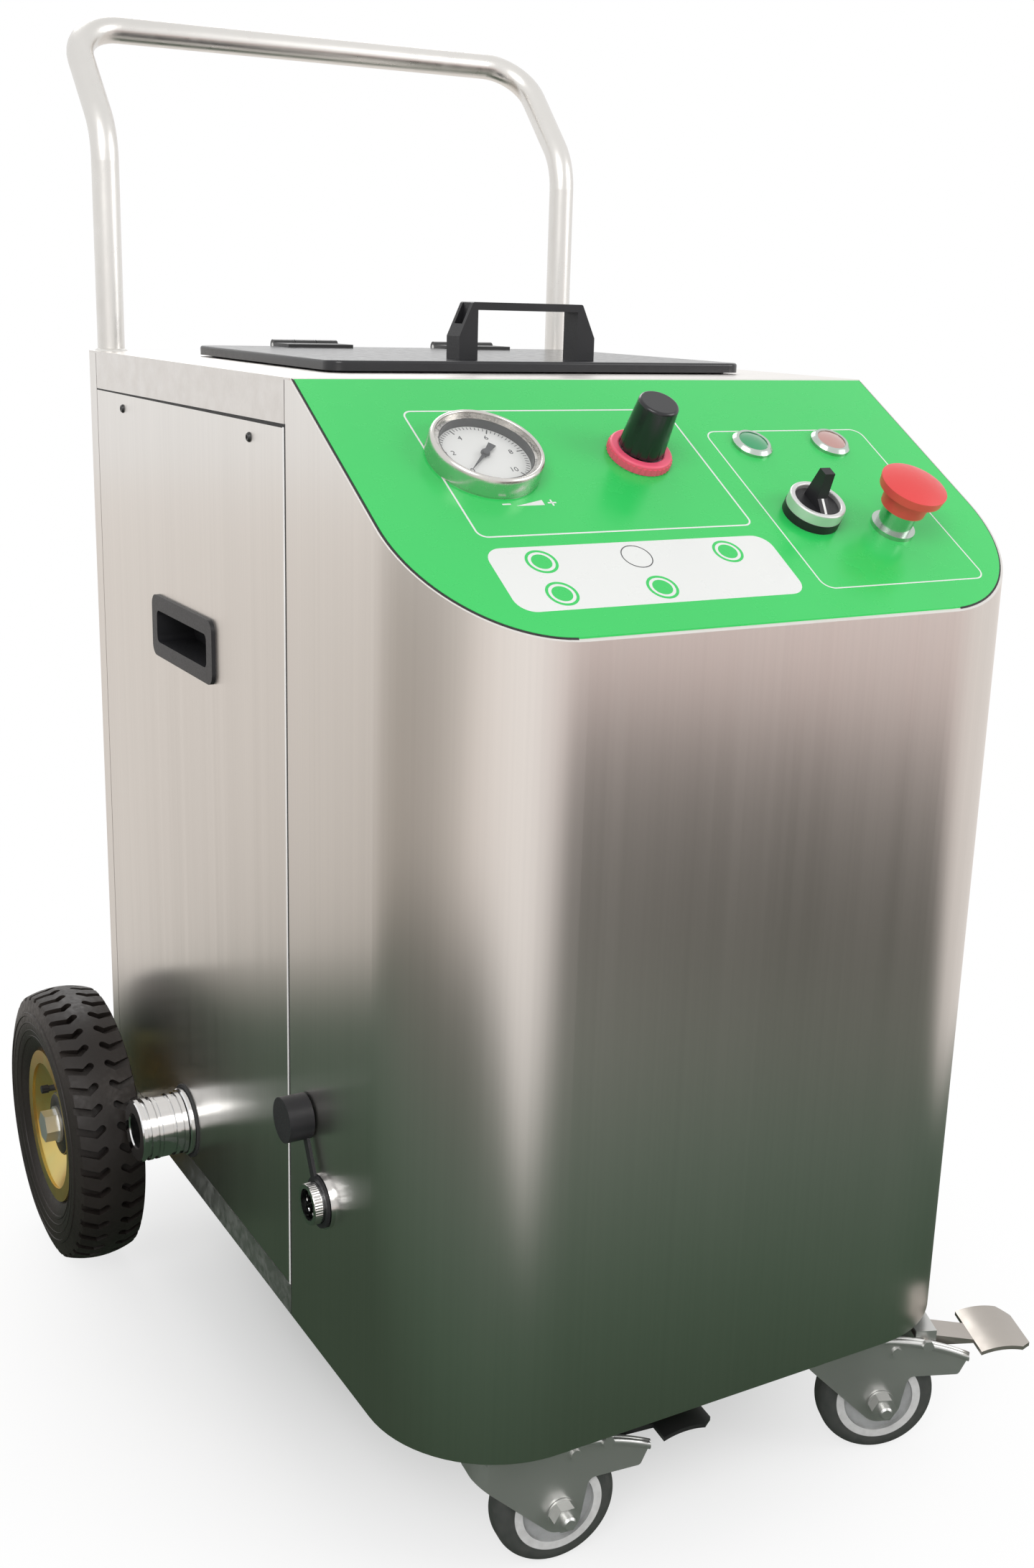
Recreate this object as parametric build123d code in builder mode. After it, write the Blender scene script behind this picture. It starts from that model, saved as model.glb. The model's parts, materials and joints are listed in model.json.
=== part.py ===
from build123d import *
import os
from math import atan2, cos, hypot, radians, sin, sqrt

os.makedirs("parts", exist_ok=True)

# Wheeled dry-ice blasting machine, in millimetres.
# +X is the machine's right as seen from its control panel, -Y is its front, +Z is up.
# The origin is on the floor, under the middle of the whole machine.

# Cabinet sheet metal
body_width = 460.0
body_depth = 655.0
body_height = 670.0
ground_clearance = 114.0
corner_radius = 92.0
sheet = 1.5
seam_gap = 1.0
panel_run = 220.0
panel_drop = 134.0
shell_return = 7.0
cap_band = 30.0
sill_height = 24.0
rear_return = 18.0
cover_lip = 14.0

# Sloped control panel
seat_sheet = 2.0
overlay_sheet = 0.8
overlay_margin = 2.5

# Floor tray and axle lugs
tray_sheet = 2.0
step_rise = 22.0
step_setback = 41.0
lug_radius = 22.0
lug_thickness = 6.0
lug_inset = 9.0

# Clearances: running fits, loose gaps and the swing gap of the casters
fit = 0.05
gap = 0.3
swivel_gap = 0.4

# Push handle
tube_diameter = 22.0
tube_wall = 1.5
leg_inset_x = 15.0
leg_inset_y = 13.0
handle_bend_height = 171.0
handle_height = 260.0
handle_reach = 84.0
leg_bend_radius = 55.0
handle_corner_radius = 40.0
leg_hole_gap = 0.5

# Rear wheels
wheel_diameter = 240.0
tyre_width = 61.0
wheel_gap = 25.5
axle_inset = 64.0
axle_diameter = 20.0
axle_body_diameter = 25.0
axle_thread_diameter = 16.0
rim_lip_diameter = 134.0
rim_seat_diameter = 116.0
rim_width = 48.0
rim_sheet = 2.5
rim_dish_depth = 20.0
hub_diameter = 54.0
hub_length = 46.0
bearing_diameter = 47.0
bearing_width = 13.0
nut_width = 24.0
nut_height = 11.0
washer_diameter = 32.0
washer_sheet = 2.5
bead_width = 10.0
casing_wall = 9.0
crown_rise = 5.0
shoulder_width = 52.0
tread_rib_width = 9.0
lug_count = 42
lug_slot_width = 6.0
lug_slot_depth = 8.0
lug_slot_lead = 4.0

# Front casters
caster_diameter = 89.0
caster_width = 25.0
caster_trail = 26.0
caster_inset = 89.0
caster_setback = 46.0
caster_yaw = {"left": -6.0, "right": -22.0}
caster_plate_length = 84.0
caster_plate_width = 66.0
caster_plate_sheet = 3.0
caster_slot_spacing_x = 64.0
caster_slot_spacing_y = 46.0
caster_bolt_hole = 8.5
race_diameter = 44.0
race_height = 5.0
head_diameter = 54.0
head_height = 7.5
fork_sheet = 2.5
fork_gap = 29.0
kingpin_diameter = 10.0
kingpin_head_diameter = 18.0
kingpin_head_height = 2.5
caster_axle_diameter = 10.0
caster_nut_width = 17.0
caster_nut_height = 8.0
caster_bolt_end = 5.0
caster_washer_diameter = 21.0
caster_washer_sheet = 1.6
fork_foot_radius = 16.0
fork_nose_x = 38.0
fork_nose_height = 18.0
fork_nose_radius = 11.0
fork_shoulder_x = 14.0
fork_arm_reach = 93.0
fork_arm_height = 17.0
fork_arm_fall = 18.0
fork_arm_slant = 8.0
fork_arm_radius = 3.0
fork_root_slant = 4.0
fork_root_radius = 6.0
fork_roll_radius = 3.0
fork_rivet_x = 35.0
fork_rivet_drop = 13.5
fork_rivet_diameter = 8.0
fork_rivet_height = 1.8
caster_tread = 12.0
caster_ring = 6.0
caster_edge = 9.0
caster_recess = 3.5
caster_hub_diameter = 26.0
caster_side_gap = 0.7
pedal_pivot_x = 58.0
pedal_pivot_drop = 8.0
pedal_boss_radius = 5.0
pedal_pin_diameter = 6.0
pedal_neck_width = 22.0
pedal_tongue_width = 54.0
pedal_tongue_start = 97.0
pedal_length = 138.0
pedal_clip = 9.0
pedal_sheet = 3.0
pedal_crown = 4.0
pedal_drop = 5.0

# Hopper, lid and its hinges
lid_width = 344.0
lid_depth = 270.0
lid_setback = 287.0
lid_thickness = 7.0
lid_corner_radius = 14.0
lid_edge_radius = 2.0
gasket_height = 1.3
gasket_width = 12.0
gasket_inset = 7.0
lid_overlap = 22.0
hopper_corner_radius = 18.0
hopper_straight = 170.0
hopper_flange = 14.0
hopper_outlet = 60.0
hinge_spread = 148.0
hinge_width = 57.0
hinge_offset = 9.0
hinge_leaf_sheet = 2.5
hinge_leaf_length = 26.0
hinge_pin_diameter = 4.0
knuckle_diameter = 9.0
hinge_axis_rise = 0.5
lid_handle_length = 114.0
lid_handle_top = 92.0
lid_handle_height = 40.0
lid_handle_shoulder = 16.0
lid_handle_opening = 84.0
lid_handle_bar = 5.5
lid_handle_depth = 20.0
lid_handle_setback = 44.0
lid_handle_wall = 4.0
lid_handle_floor = 8.0

# Side fittings
pull_length = 135.0
pull_height = 48.0
pull_setback = 430.0
pull_drop = 203.0
pull_depth = 30.0
pull_frame = 9.0
pull_lip = 3.0
pull_wall = 2.5
connector_lead = 139.0
connector_height = 170.0
connector_diameter = 51.0
connector_bore = 28.0
connector_shank_diameter = 44.0
connector_shank_length = 12.0
connector_collar_diameter = 55.0
connector_collar_length = 5.0
connector_groove_width = 3.0
connector_groove_depth = 2.0
connector_thread_length = 28.0
connector_nose_length = 5.0
connector_hole_gap = 1.5
socket_setback = 166.0
socket_height = 238.0
socket_flange_diameter = 38.0
socket_barrel_diameter = 28.0
socket_bore = 22.0
socket_flange_sheet = 3.0
socket_barrel_length = 10.0
socket_floor_depth = 6.0
socket_shank_diameter = 26.0
socket_shank_length = 14.0
socket_nut_diameter = 36.0
socket_nut_height = 5.0
socket_pin_recess = 3.0
socket_pin_diameter = 2.4
socket_pin_circle = 14.0
socket_pin_count = 6
cap_distance = 59.0
cap_angle = 61.5
cap_length = 18.0
cap_wall = 1.6
cap_ring_width = 3.5
cap_stand_off = 1.5
cap_strap_width = 7.0
cap_strap_sheet = 2.2

# Rear fittings
air_inlet_x = 100.0
air_thread_diameter = 33.0
air_thread_length = 24.0
air_hex_width = 41.0
air_hex_length = 12.0
air_inside_length = 16.0
mains_x = -120.0
mains_height = 210.0
mains_width = 48.0
mains_body_height = 30.0
mains_depth = 26.0
mains_overhang = 3.0
mains_flange_sheet = 3.0
mains_recess_depth = 20.0
mains_recess_wall = 4.0
mains_blade_width = 6.0
mains_blade_sheet = 2.0
mains_blade_length = 15.0
mains_blade_spacing = 12.0

# Feed unit inside the cabinet
pipe_wall = 3.0
feeder_length = 120.0
feeder_depth = 90.0
rotor_diameter = 76.0
rotor_length = 52.0
rotor_pocket = 12.0
rotor_pocket_count = 14
rotor_shaft_diameter = 18.0
rotor_sink = 9.0
feeder_roof = 22.0
shaft_engagement = 30.0
gearbox_size = 90.0
gearbox_length = 38.0
motor_diameter = 80.0
motor_length = 66.0
control_box_width = 180.0
control_box_depth = 110.0
control_box_height = 200.0
control_box_setback = 96.0

# Panel controls: place (in from the panel's nearer side, down from its top edge) and main sizes
gauge_inset = 96.5
gauge_down = 91.5
gauge_diameter = 74.0
gauge_case_diameter = 62.0
gauge_case_depth = 28.0
gauge_bezel_height = 13.0
gauge_dial_height = 4.0
gauge_lens_sheet = 1.8
pointer_length = 24.0
pointer_tail = 12.0
pointer_angle = 225.0
pointer_shaft_diameter = 2.4
pointer_sheet = 0.8
pointer_hub = 3.0
pointer_width = 2.6
dial_sheet = 1.0
regulator_inset = 213.5
regulator_down = 89.0
regulator_ring_diameter = 43.0
regulator_ring_height = 7.0
regulator_neck_diameter = 30.0
regulator_body_diameter = 50.0
regulator_body_depth = 48.0
regulator_spindle_diameter = 10.0
regulator_knob_diameter = 31.0
regulator_knob_height = 35.0
regulator_knob_taper = 2.0
regulator_knob_skin = 4.0
flute_count = 14
flute_diameter = 3.0
flute_depth = 0.7
lamp_insets = (149.0, 81.0)
lamp_down = 80.0
lamp_diameter = 29.0
lamp_lens_diameter = 21.0
lamp_shank_diameter = 21.6
lamp_depth = 30.0
lamp_bezel_height = 4.2
lamp_floor = 1.5
lamp_rim = 3.6
lamp_crown = 5.6
feed_dial_inset = 147.0
feed_dial_down = 157.0
feed_dial_diameter = 39.6
feed_dial_base_height = 6.0
feed_dial_ring_height = 8.0
feed_dial_shank_diameter = 21.6
feed_knob_diameter = 31.0
feed_knob_sheet = 4.5
feed_lever_height = 23.0
feed_lever_width = 8.0
feed_shaft_diameter = 6.0
feed_shaft_length = 12.0
estop_inset = 88.0
estop_down = 173.0
estop_diameter = 46.0
estop_skirt_diameter = 33.0
estop_collar_diameter = 24.0
estop_collar_height = 18.0
estop_nut_diameter = 31.0
estop_stem_diameter = 12.0
estop_travel = 5.0
estop_nut_sheet = 3.0
estop_overrun = 1.0
estop_skirt_roof = 6.0
estop_skirt_slope = 2.0
estop_rim_height = 6.0
estop_crown = 5.0
estop_edge = 1.0
estop_stem_grip = 3.0
control_depth = 30.0

# Planes and levels that follow from the sizes above
half_width = body_width / 2
pedal_corners = (
    (pedal_length, pedal_tongue_width / 2 - pedal_clip),
    (pedal_length - pedal_clip, pedal_tongue_width / 2),
)
front_overhang = max(
    cos(radians(yaw)) * out - sin(radians(yaw)) * along - caster_setback
    for yaw in caster_yaw.values()
    for along, out in pedal_corners
)
overall_depth = front_overhang + body_depth - leg_inset_y + handle_reach + tube_diameter / 2
front_y = front_overhang - overall_depth / 2
rear_y = front_y + body_depth
floor_z = ground_clearance
top_z = ground_clearance + body_height
panel_back = front_y + panel_run
seam_y = panel_back + shell_return
cover_front = seam_y + seam_gap
cover_back = rear_y - rear_return - seam_gap
slope = atan2(panel_drop, panel_run)
slope_length = hypot(panel_run, panel_drop)
seat_plane = Plane((0, panel_back, top_z), x_dir=(1, 0, 0), z_dir=(0, -sin(slope), cos(slope)))
face_plane = seat_plane.offset(overlay_sheet)
panel_stack = seat_sheet + overlay_sheet
wheel_track = body_width + 2 * wheel_gap + tyre_width
axle_y = rear_y - axle_inset
axle_z = wheel_diameter / 2
caster_spread = body_width - 2 * caster_inset
step_y = axle_y - step_setback
step_z = axle_z + step_rise
connector_y = axle_y - connector_lead
connector_z = connector_height
feeder_y = connector_y
rotor_z = connector_z + connector_bore / 2 - rotor_sink + rotor_diameter / 2
feeder_top = rotor_z + rotor_diameter / 2 + feeder_roof
lid_front = front_y + lid_setback
lid_back = lid_front + lid_depth
hopper_y = lid_front + lid_depth / 2
hopper_width = lid_width - 2 * lid_overlap
hopper_depth = lid_depth - 2 * lid_overlap
lid_bottom = top_z + gasket_height
lid_top = lid_bottom + lid_thickness
hinge_y = lid_back + hinge_offset
hinge_z = lid_top + hinge_axis_rise
gauge_at = (gauge_inset - half_width, gauge_down)
regulator_at = (regulator_inset - half_width, regulator_down)
lamp_at = ((half_width - lamp_insets[0], lamp_down), (half_width - lamp_insets[1], lamp_down))
feed_dial_at = (half_width - feed_dial_inset, feed_dial_down)
estop_at = (half_width - estop_inset, estop_down)
sides = (("left", -1), ("right", 1))


def save(part, label):
    """Label a finished piece and write its STEP file."""
    part.label = label
    export_step(part, f"parts/{label}.step")


def front_plan(inset, back_y):
    """Plan of the cabinet from its rounded front back to back_y."""
    half = half_width - inset
    nose = front_y + inset
    with BuildSketch() as plan:
        with BuildLine():
            FilletPolyline(
                (-half, back_y), (-half, nose), (half, nose), (half, back_y),
                radius=corner_radius - inset,
            )
            Line((half, back_y), (-half, back_y))
        make_face()
    return plan.sketch


def slab(x, y, z):
    """Plain block between two X, two Y and two Z values, inside a part."""
    with Locations(((x[0] + x[1]) / 2, (y[0] + y[1]) / 2, (z[0] + z[1]) / 2)):
        Box(abs(x[1] - x[0]), abs(y[1] - y[0]), abs(z[1] - z[0]))


def cross_plane(y, z, x=0.0):
    """Plane whose axes are X and Z, for profiles turned about a line along X."""
    return Plane((x, y, z), x_dir=(1, 0, 0), z_dir=(0, -1, 0))


def cross_axis(y, z):
    """Line along X through the given point."""
    return Axis((0, y, z), (1, 0, 0))


def control_point(place, height=0.0):
    """Point above the panel's face, at a place on the panel."""
    return face_plane.from_local_coords(Vector(place[0], -place[1], height))


def control_plane(place, height=0.0):
    """Plane parallel to the panel's face."""
    return Plane(control_point(place, height), x_dir=(1, 0, 0), z_dir=face_plane.z_dir)


def control_profile(place):
    """Plane square to the panel, with X across and Y out of the panel."""
    return Plane(control_point(place), x_dir=(1, 0, 0), z_dir=-face_plane.y_dir)


def control_axis(place):
    """Line out of the panel at a place on it."""
    return Axis(control_point(place), face_plane.z_dir)


def dome_point(radius, edge, crown):
    """Point half way out on a dome centred on its axis, for the arc that draws it."""
    ball = (radius**2 + (crown - edge) ** 2) / (2 * (crown - edge))
    return (radius / 2, crown - ball + sqrt(ball**2 - radius**2 / 4))


# Floor tray: pan, kick-up over the axle, sills, cover lips and axle lugs
inner_half = half_width - sheet - gap
tray_back = rear_y - sheet - gap
with BuildPart() as base_tray:
    with BuildSketch(Plane.XY.offset(floor_z)):
        add(front_plan(sheet + gap, cover_front))
        with Locations((0, (cover_front + step_y) / 2)):
            Rectangle(body_width, step_y - cover_front)
    extrude(amount=tray_sheet)
    slab((-inner_half, inner_half), (step_y - tray_sheet, step_y), (floor_z, step_z + tray_sheet))
    slab((-inner_half, inner_half), (step_y - tray_sheet, tray_back), (step_z, step_z + tray_sheet))
    for name, side in sides:
        outer = side * half_width
        lip_outer = side * (half_width - sheet)
        slab((outer - side * tray_sheet, outer), (cover_front, cover_back), (floor_z, floor_z + sill_height))
        slab(
            (lip_outer - side * tray_sheet, lip_outer),
            (cover_front, cover_back),
            (floor_z, floor_z + sill_height + cover_lip),
        )
        with BuildSketch(Plane.YZ.offset(side * (half_width - lug_inset))):
            with Locations((axle_y, axle_z)):
                Circle(lug_radius)
            with Locations((axle_y, (axle_z + step_z) / 2)):
                Rectangle(2 * lug_radius, step_z - axle_z)
        extrude(amount=lug_thickness / 2, both=True)
    with BuildSketch(Plane.YZ):
        with Locations((axle_y, axle_z)):
            Circle(axle_body_diameter / 2 + gap)
    extrude(amount=half_width, both=True, mode=Mode.SUBTRACT)
    with BuildSketch(Plane.YZ.offset(-half_width)):
        with Locations((connector_y, connector_z)):
            Circle(connector_collar_diameter / 2 + connector_hole_gap)
    extrude(amount=lug_inset, both=True, mode=Mode.SUBTRACT)
save(base_tray.part, "base_tray")

# Front shell: the sheet that wraps the front, with the sloped seat for the controls
gauge_hole = gauge_case_diameter / 2 + gap
regulator_hole = regulator_neck_diameter / 2 + gap
lamp_hole = lamp_shank_diameter / 2 + gap
feed_dial_hole = feed_dial_shank_diameter / 2 + gap
estop_hole = estop_collar_diameter / 2 + gap
control_holes = (
    (gauge_at, gauge_hole),
    (regulator_at, regulator_hole),
    (lamp_at[0], lamp_hole),
    (lamp_at[1], lamp_hole),
    (feed_dial_at, feed_dial_hole),
    (estop_at, estop_hole),
)
with BuildPart() as panel_seat:
    with BuildSketch(seat_plane):
        with Locations((0, -slope_length / 2)):
            Rectangle(body_width, 2 * slope_length)
    extrude(amount=-seat_sheet)
    extrude(
        Plane.XY.offset(floor_z) * front_plan(sheet / 2, panel_back),
        amount=body_height,
        mode=Mode.INTERSECT,
    )
    for place, radius in control_holes:
        with BuildSketch(control_plane(place)):
            Circle(radius)
        extrude(amount=-2 * panel_stack, mode=Mode.SUBTRACT)

shell_top = top_z - sheet
socket_y = front_y + socket_setback
socket_z = socket_height
with BuildPart() as front_shell:
    with BuildSketch(Plane.XY.offset(floor_z)):
        add(front_plan(0, seam_y))
        add(front_plan(sheet, seam_y), mode=Mode.SUBTRACT)
    extrude(amount=shell_top - floor_z)
    with BuildSketch(Plane.YZ):
        with BuildLine():
            Polyline(
                (front_y - panel_run, top_z - 2 * panel_drop),
                (panel_back, top_z),
                (front_y - panel_run, top_z),
                close=True,
            )
        make_face()
    extrude(amount=body_width, both=True, mode=Mode.SUBTRACT)
    add(panel_seat.part)
    with BuildSketch(Plane.YZ.offset(-half_width)):
        with Locations((socket_y, socket_z)):
            Circle(socket_shank_diameter / 2 + gap)
    extrude(amount=2 * sheet, both=True, mode=Mode.SUBTRACT)
save(front_shell.part, "front_shell")

# Printed panel overlay
with BuildPart() as panel_overlay:
    with BuildSketch(seat_plane):
        with Locations((0, -slope_length / 2)):
            Rectangle(body_width, 2 * slope_length)
    extrude(amount=overlay_sheet)
    extrude(
        Plane.XY.offset(floor_z) * front_plan(overlay_margin, panel_back - overlay_margin),
        amount=2 * body_height,
        mode=Mode.INTERSECT,
    )
    for place, radius in control_holes:
        with BuildSketch(control_plane(place)):
            Circle(radius)
        extrude(amount=-2 * panel_stack, mode=Mode.SUBTRACT)
save(panel_overlay.part, "panel_overlay")

# Top cap: top sheet with the hopper mouth, side bands and the strips that hold the covers
leg_x = half_width - leg_inset_x
leg_y = rear_y - leg_inset_y
with BuildPart() as top_cap:
    with BuildSketch(Plane.XY.offset(top_z - sheet)):
        with Locations((0, (panel_back + rear_y) / 2)):
            Rectangle(body_width, rear_y - panel_back)
        with Locations((0, hopper_y)):
            RectangleRounded(hopper_width, hopper_depth, hopper_corner_radius, mode=Mode.SUBTRACT)
        with Locations((-leg_x, leg_y), (leg_x, leg_y)):
            Circle(tube_diameter / 2 + leg_hole_gap, mode=Mode.SUBTRACT)
    extrude(amount=sheet)
    for name, side in sides:
        outer = side * half_width
        strip = outer - side * sheet
        slab((strip, outer), (cover_front, cover_back), (top_z - cap_band, top_z - sheet))
        slab(
            (strip - side * sheet, strip),
            (cover_front, cover_back),
            (top_z - cap_band - 2 * cover_lip, top_z - sheet),
        )
save(top_cap.part, "top_cap")

# Rear panel with its two corner returns
air_z = connector_z
with BuildPart() as rear_panel:
    with BuildSketch(Plane.XY.offset(floor_z)):
        with Locations((0, rear_y - rear_return / 2)):
            Rectangle(body_width, rear_return)
        with Locations((0, rear_y - rear_return / 2 - sheet)):
            Rectangle(body_width - 2 * sheet, rear_return, mode=Mode.SUBTRACT)
    extrude(amount=shell_top - floor_z)
    with BuildSketch(Plane.XZ.offset(-rear_y)):
        with Locations((air_inlet_x, air_z)):
            Circle(air_thread_diameter / 2 + gap)
        with Locations((mains_x, mains_height)):
            Rectangle(
                mains_width - 2 * mains_overhang + 2 * gap, mains_body_height - 2 * mains_overhang + 2 * gap
            )
    extrude(amount=2 * sheet, both=True, mode=Mode.SUBTRACT)
save(rear_panel.part, "rear_panel")

# Side covers, with the cut-out for the flush pull and, on the left, the hose connector
pull_y = front_y + pull_setback
pull_z = top_z - pull_drop
cover_bottom = floor_z + sill_height + seam_gap
cover_top = top_z - cap_band - seam_gap
pull_box_length = pull_length - 2 * pull_frame
pull_box_height = pull_height - 2 * pull_frame
for name, side in sides:
    with BuildPart() as side_panel:
        with BuildSketch(Plane.YZ.offset(side * (half_width - sheet / 2))):
            with Locations(((cover_front + cover_back) / 2, (cover_bottom + cover_top) / 2)):
                Rectangle(cover_back - cover_front, cover_top - cover_bottom)
            with Locations((pull_y, pull_z)):
                Rectangle(pull_box_length + 2 * gap, pull_box_height + 2 * gap, mode=Mode.SUBTRACT)
            if name == "left":
                with Locations((connector_y, connector_z)):
                    Circle(connector_collar_diameter / 2 + connector_hole_gap, mode=Mode.SUBTRACT)
        extrude(amount=sheet / 2, both=True)
    save(side_panel.part, f"side_panel_{name}")

# Flush pulls: a moulded frame round a finger pocket, one in each side cover
with BuildPart() as flush_pulls:
    for name, side in sides:
        outer = side * half_width
        with BuildSketch(Plane.YZ.offset(outer + side * pull_lip / 2)):
            with Locations((pull_y, pull_z)):
                RectangleRounded(pull_length, pull_height, pull_frame)
        extrude(amount=pull_lip / 2, both=True)
        slab(
            (outer, outer - side * pull_depth),
            (pull_y - pull_box_length / 2, pull_y + pull_box_length / 2),
            (pull_z - pull_box_height / 2, pull_z + pull_box_height / 2),
        )
    for name, side in sides:
        inner = side * (half_width - pull_depth / 2 + pull_lip)
        with BuildSketch(Plane.YZ.offset(inner)):
            with Locations((pull_y, pull_z)):
                RectangleRounded(
                    pull_box_length - 2 * pull_wall, pull_box_height - 2 * pull_wall, 2 * pull_wall
                )
        extrude(amount=pull_depth / 2 + pull_lip - pull_wall, both=True, mode=Mode.SUBTRACT)
save(flush_pulls.part, "flush_pulls")

# Push handle: one bent tube standing on the tray
bend_z = top_z + handle_bend_height
bar_y = leg_y + handle_reach
bar_z = top_z + handle_height
leg_foot = step_z + tray_sheet
with BuildPart() as push_handle:
    with BuildLine() as handle_path:
        FilletPolyline(
            (-leg_x, leg_y, leg_foot),
            (-leg_x, leg_y, bend_z),
            (-leg_x, bar_y, bar_z),
            (leg_x, bar_y, bar_z),
            (leg_x, leg_y, bend_z),
            (leg_x, leg_y, leg_foot),
            radius=[leg_bend_radius, handle_corner_radius, handle_corner_radius, leg_bend_radius],
        )
    with BuildSketch(Plane((-leg_x, leg_y, leg_foot))):
        Circle(tube_diameter / 2)
        Circle(tube_diameter / 2 - tube_wall, mode=Mode.SUBTRACT)
    sweep(path=handle_path.line)
save(push_handle.part, "push_handle")

# Axle: thick bar in the tray's lugs, journals in the hubs, threaded ends
wheel_x = wheel_track / 2
hub_inner = wheel_x - tyre_width / 2
hub_outer = hub_inner + hub_length
axle_end = hub_outer + washer_sheet + nut_height + gap
axle_shoulder = hub_inner - gap
with BuildPart() as axle:
    with BuildSketch(cross_plane(axle_y, axle_z)):
        with BuildLine():
            Polyline(
                (-axle_end, 0),
                (-axle_end, axle_thread_diameter / 2),
                (-hub_outer - gap, axle_thread_diameter / 2),
                (-hub_outer - gap, axle_diameter / 2),
                (-axle_shoulder, axle_diameter / 2),
                (-axle_shoulder, axle_body_diameter / 2),
                (axle_shoulder, axle_body_diameter / 2),
                (axle_shoulder, axle_diameter / 2),
                (hub_outer + gap, axle_diameter / 2),
                (hub_outer + gap, axle_thread_diameter / 2),
                (axle_end, axle_thread_diameter / 2),
                (axle_end, 0),
                close=True,
            )
        make_face()
    revolve(axis=cross_axis(axle_y, axle_z))
save(axle.part, "axle")

# Axle nuts with their washers
with BuildPart() as axle_nuts:
    for name, side in sides:
        washer_face = side * (hub_outer + gap)
        with BuildSketch(Plane.YZ.offset(washer_face)):
            with Locations((axle_y, axle_z)):
                Circle(washer_diameter / 2)
                Circle(axle_thread_diameter / 2 + fit, mode=Mode.SUBTRACT)
        extrude(amount=side * washer_sheet)
        with BuildSketch(Plane.YZ.offset(washer_face + side * washer_sheet)):
            with Locations((axle_y, axle_z)):
                RegularPolygon(nut_width / 2, 6, major_radius=False)
                Circle(axle_thread_diameter / 2 + fit, mode=Mode.SUBTRACT)
        extrude(amount=side * nut_height)
save(axle_nuts.part, "axle_nuts")

# Wheel bearings: two in each hub
with BuildPart() as wheel_bearings:
    for name, side in sides:
        for face in (hub_inner, hub_outer - bearing_width):
            with BuildSketch(Plane.YZ.offset(side * (face + bearing_width / 2))):
                with Locations((axle_y, axle_z)):
                    Circle(bearing_diameter / 2)
                    Circle(axle_diameter / 2 + fit, mode=Mode.SUBTRACT)
            extrude(amount=bearing_width / 2, both=True)
save(wheel_bearings.part, "wheel_bearings")

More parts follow.
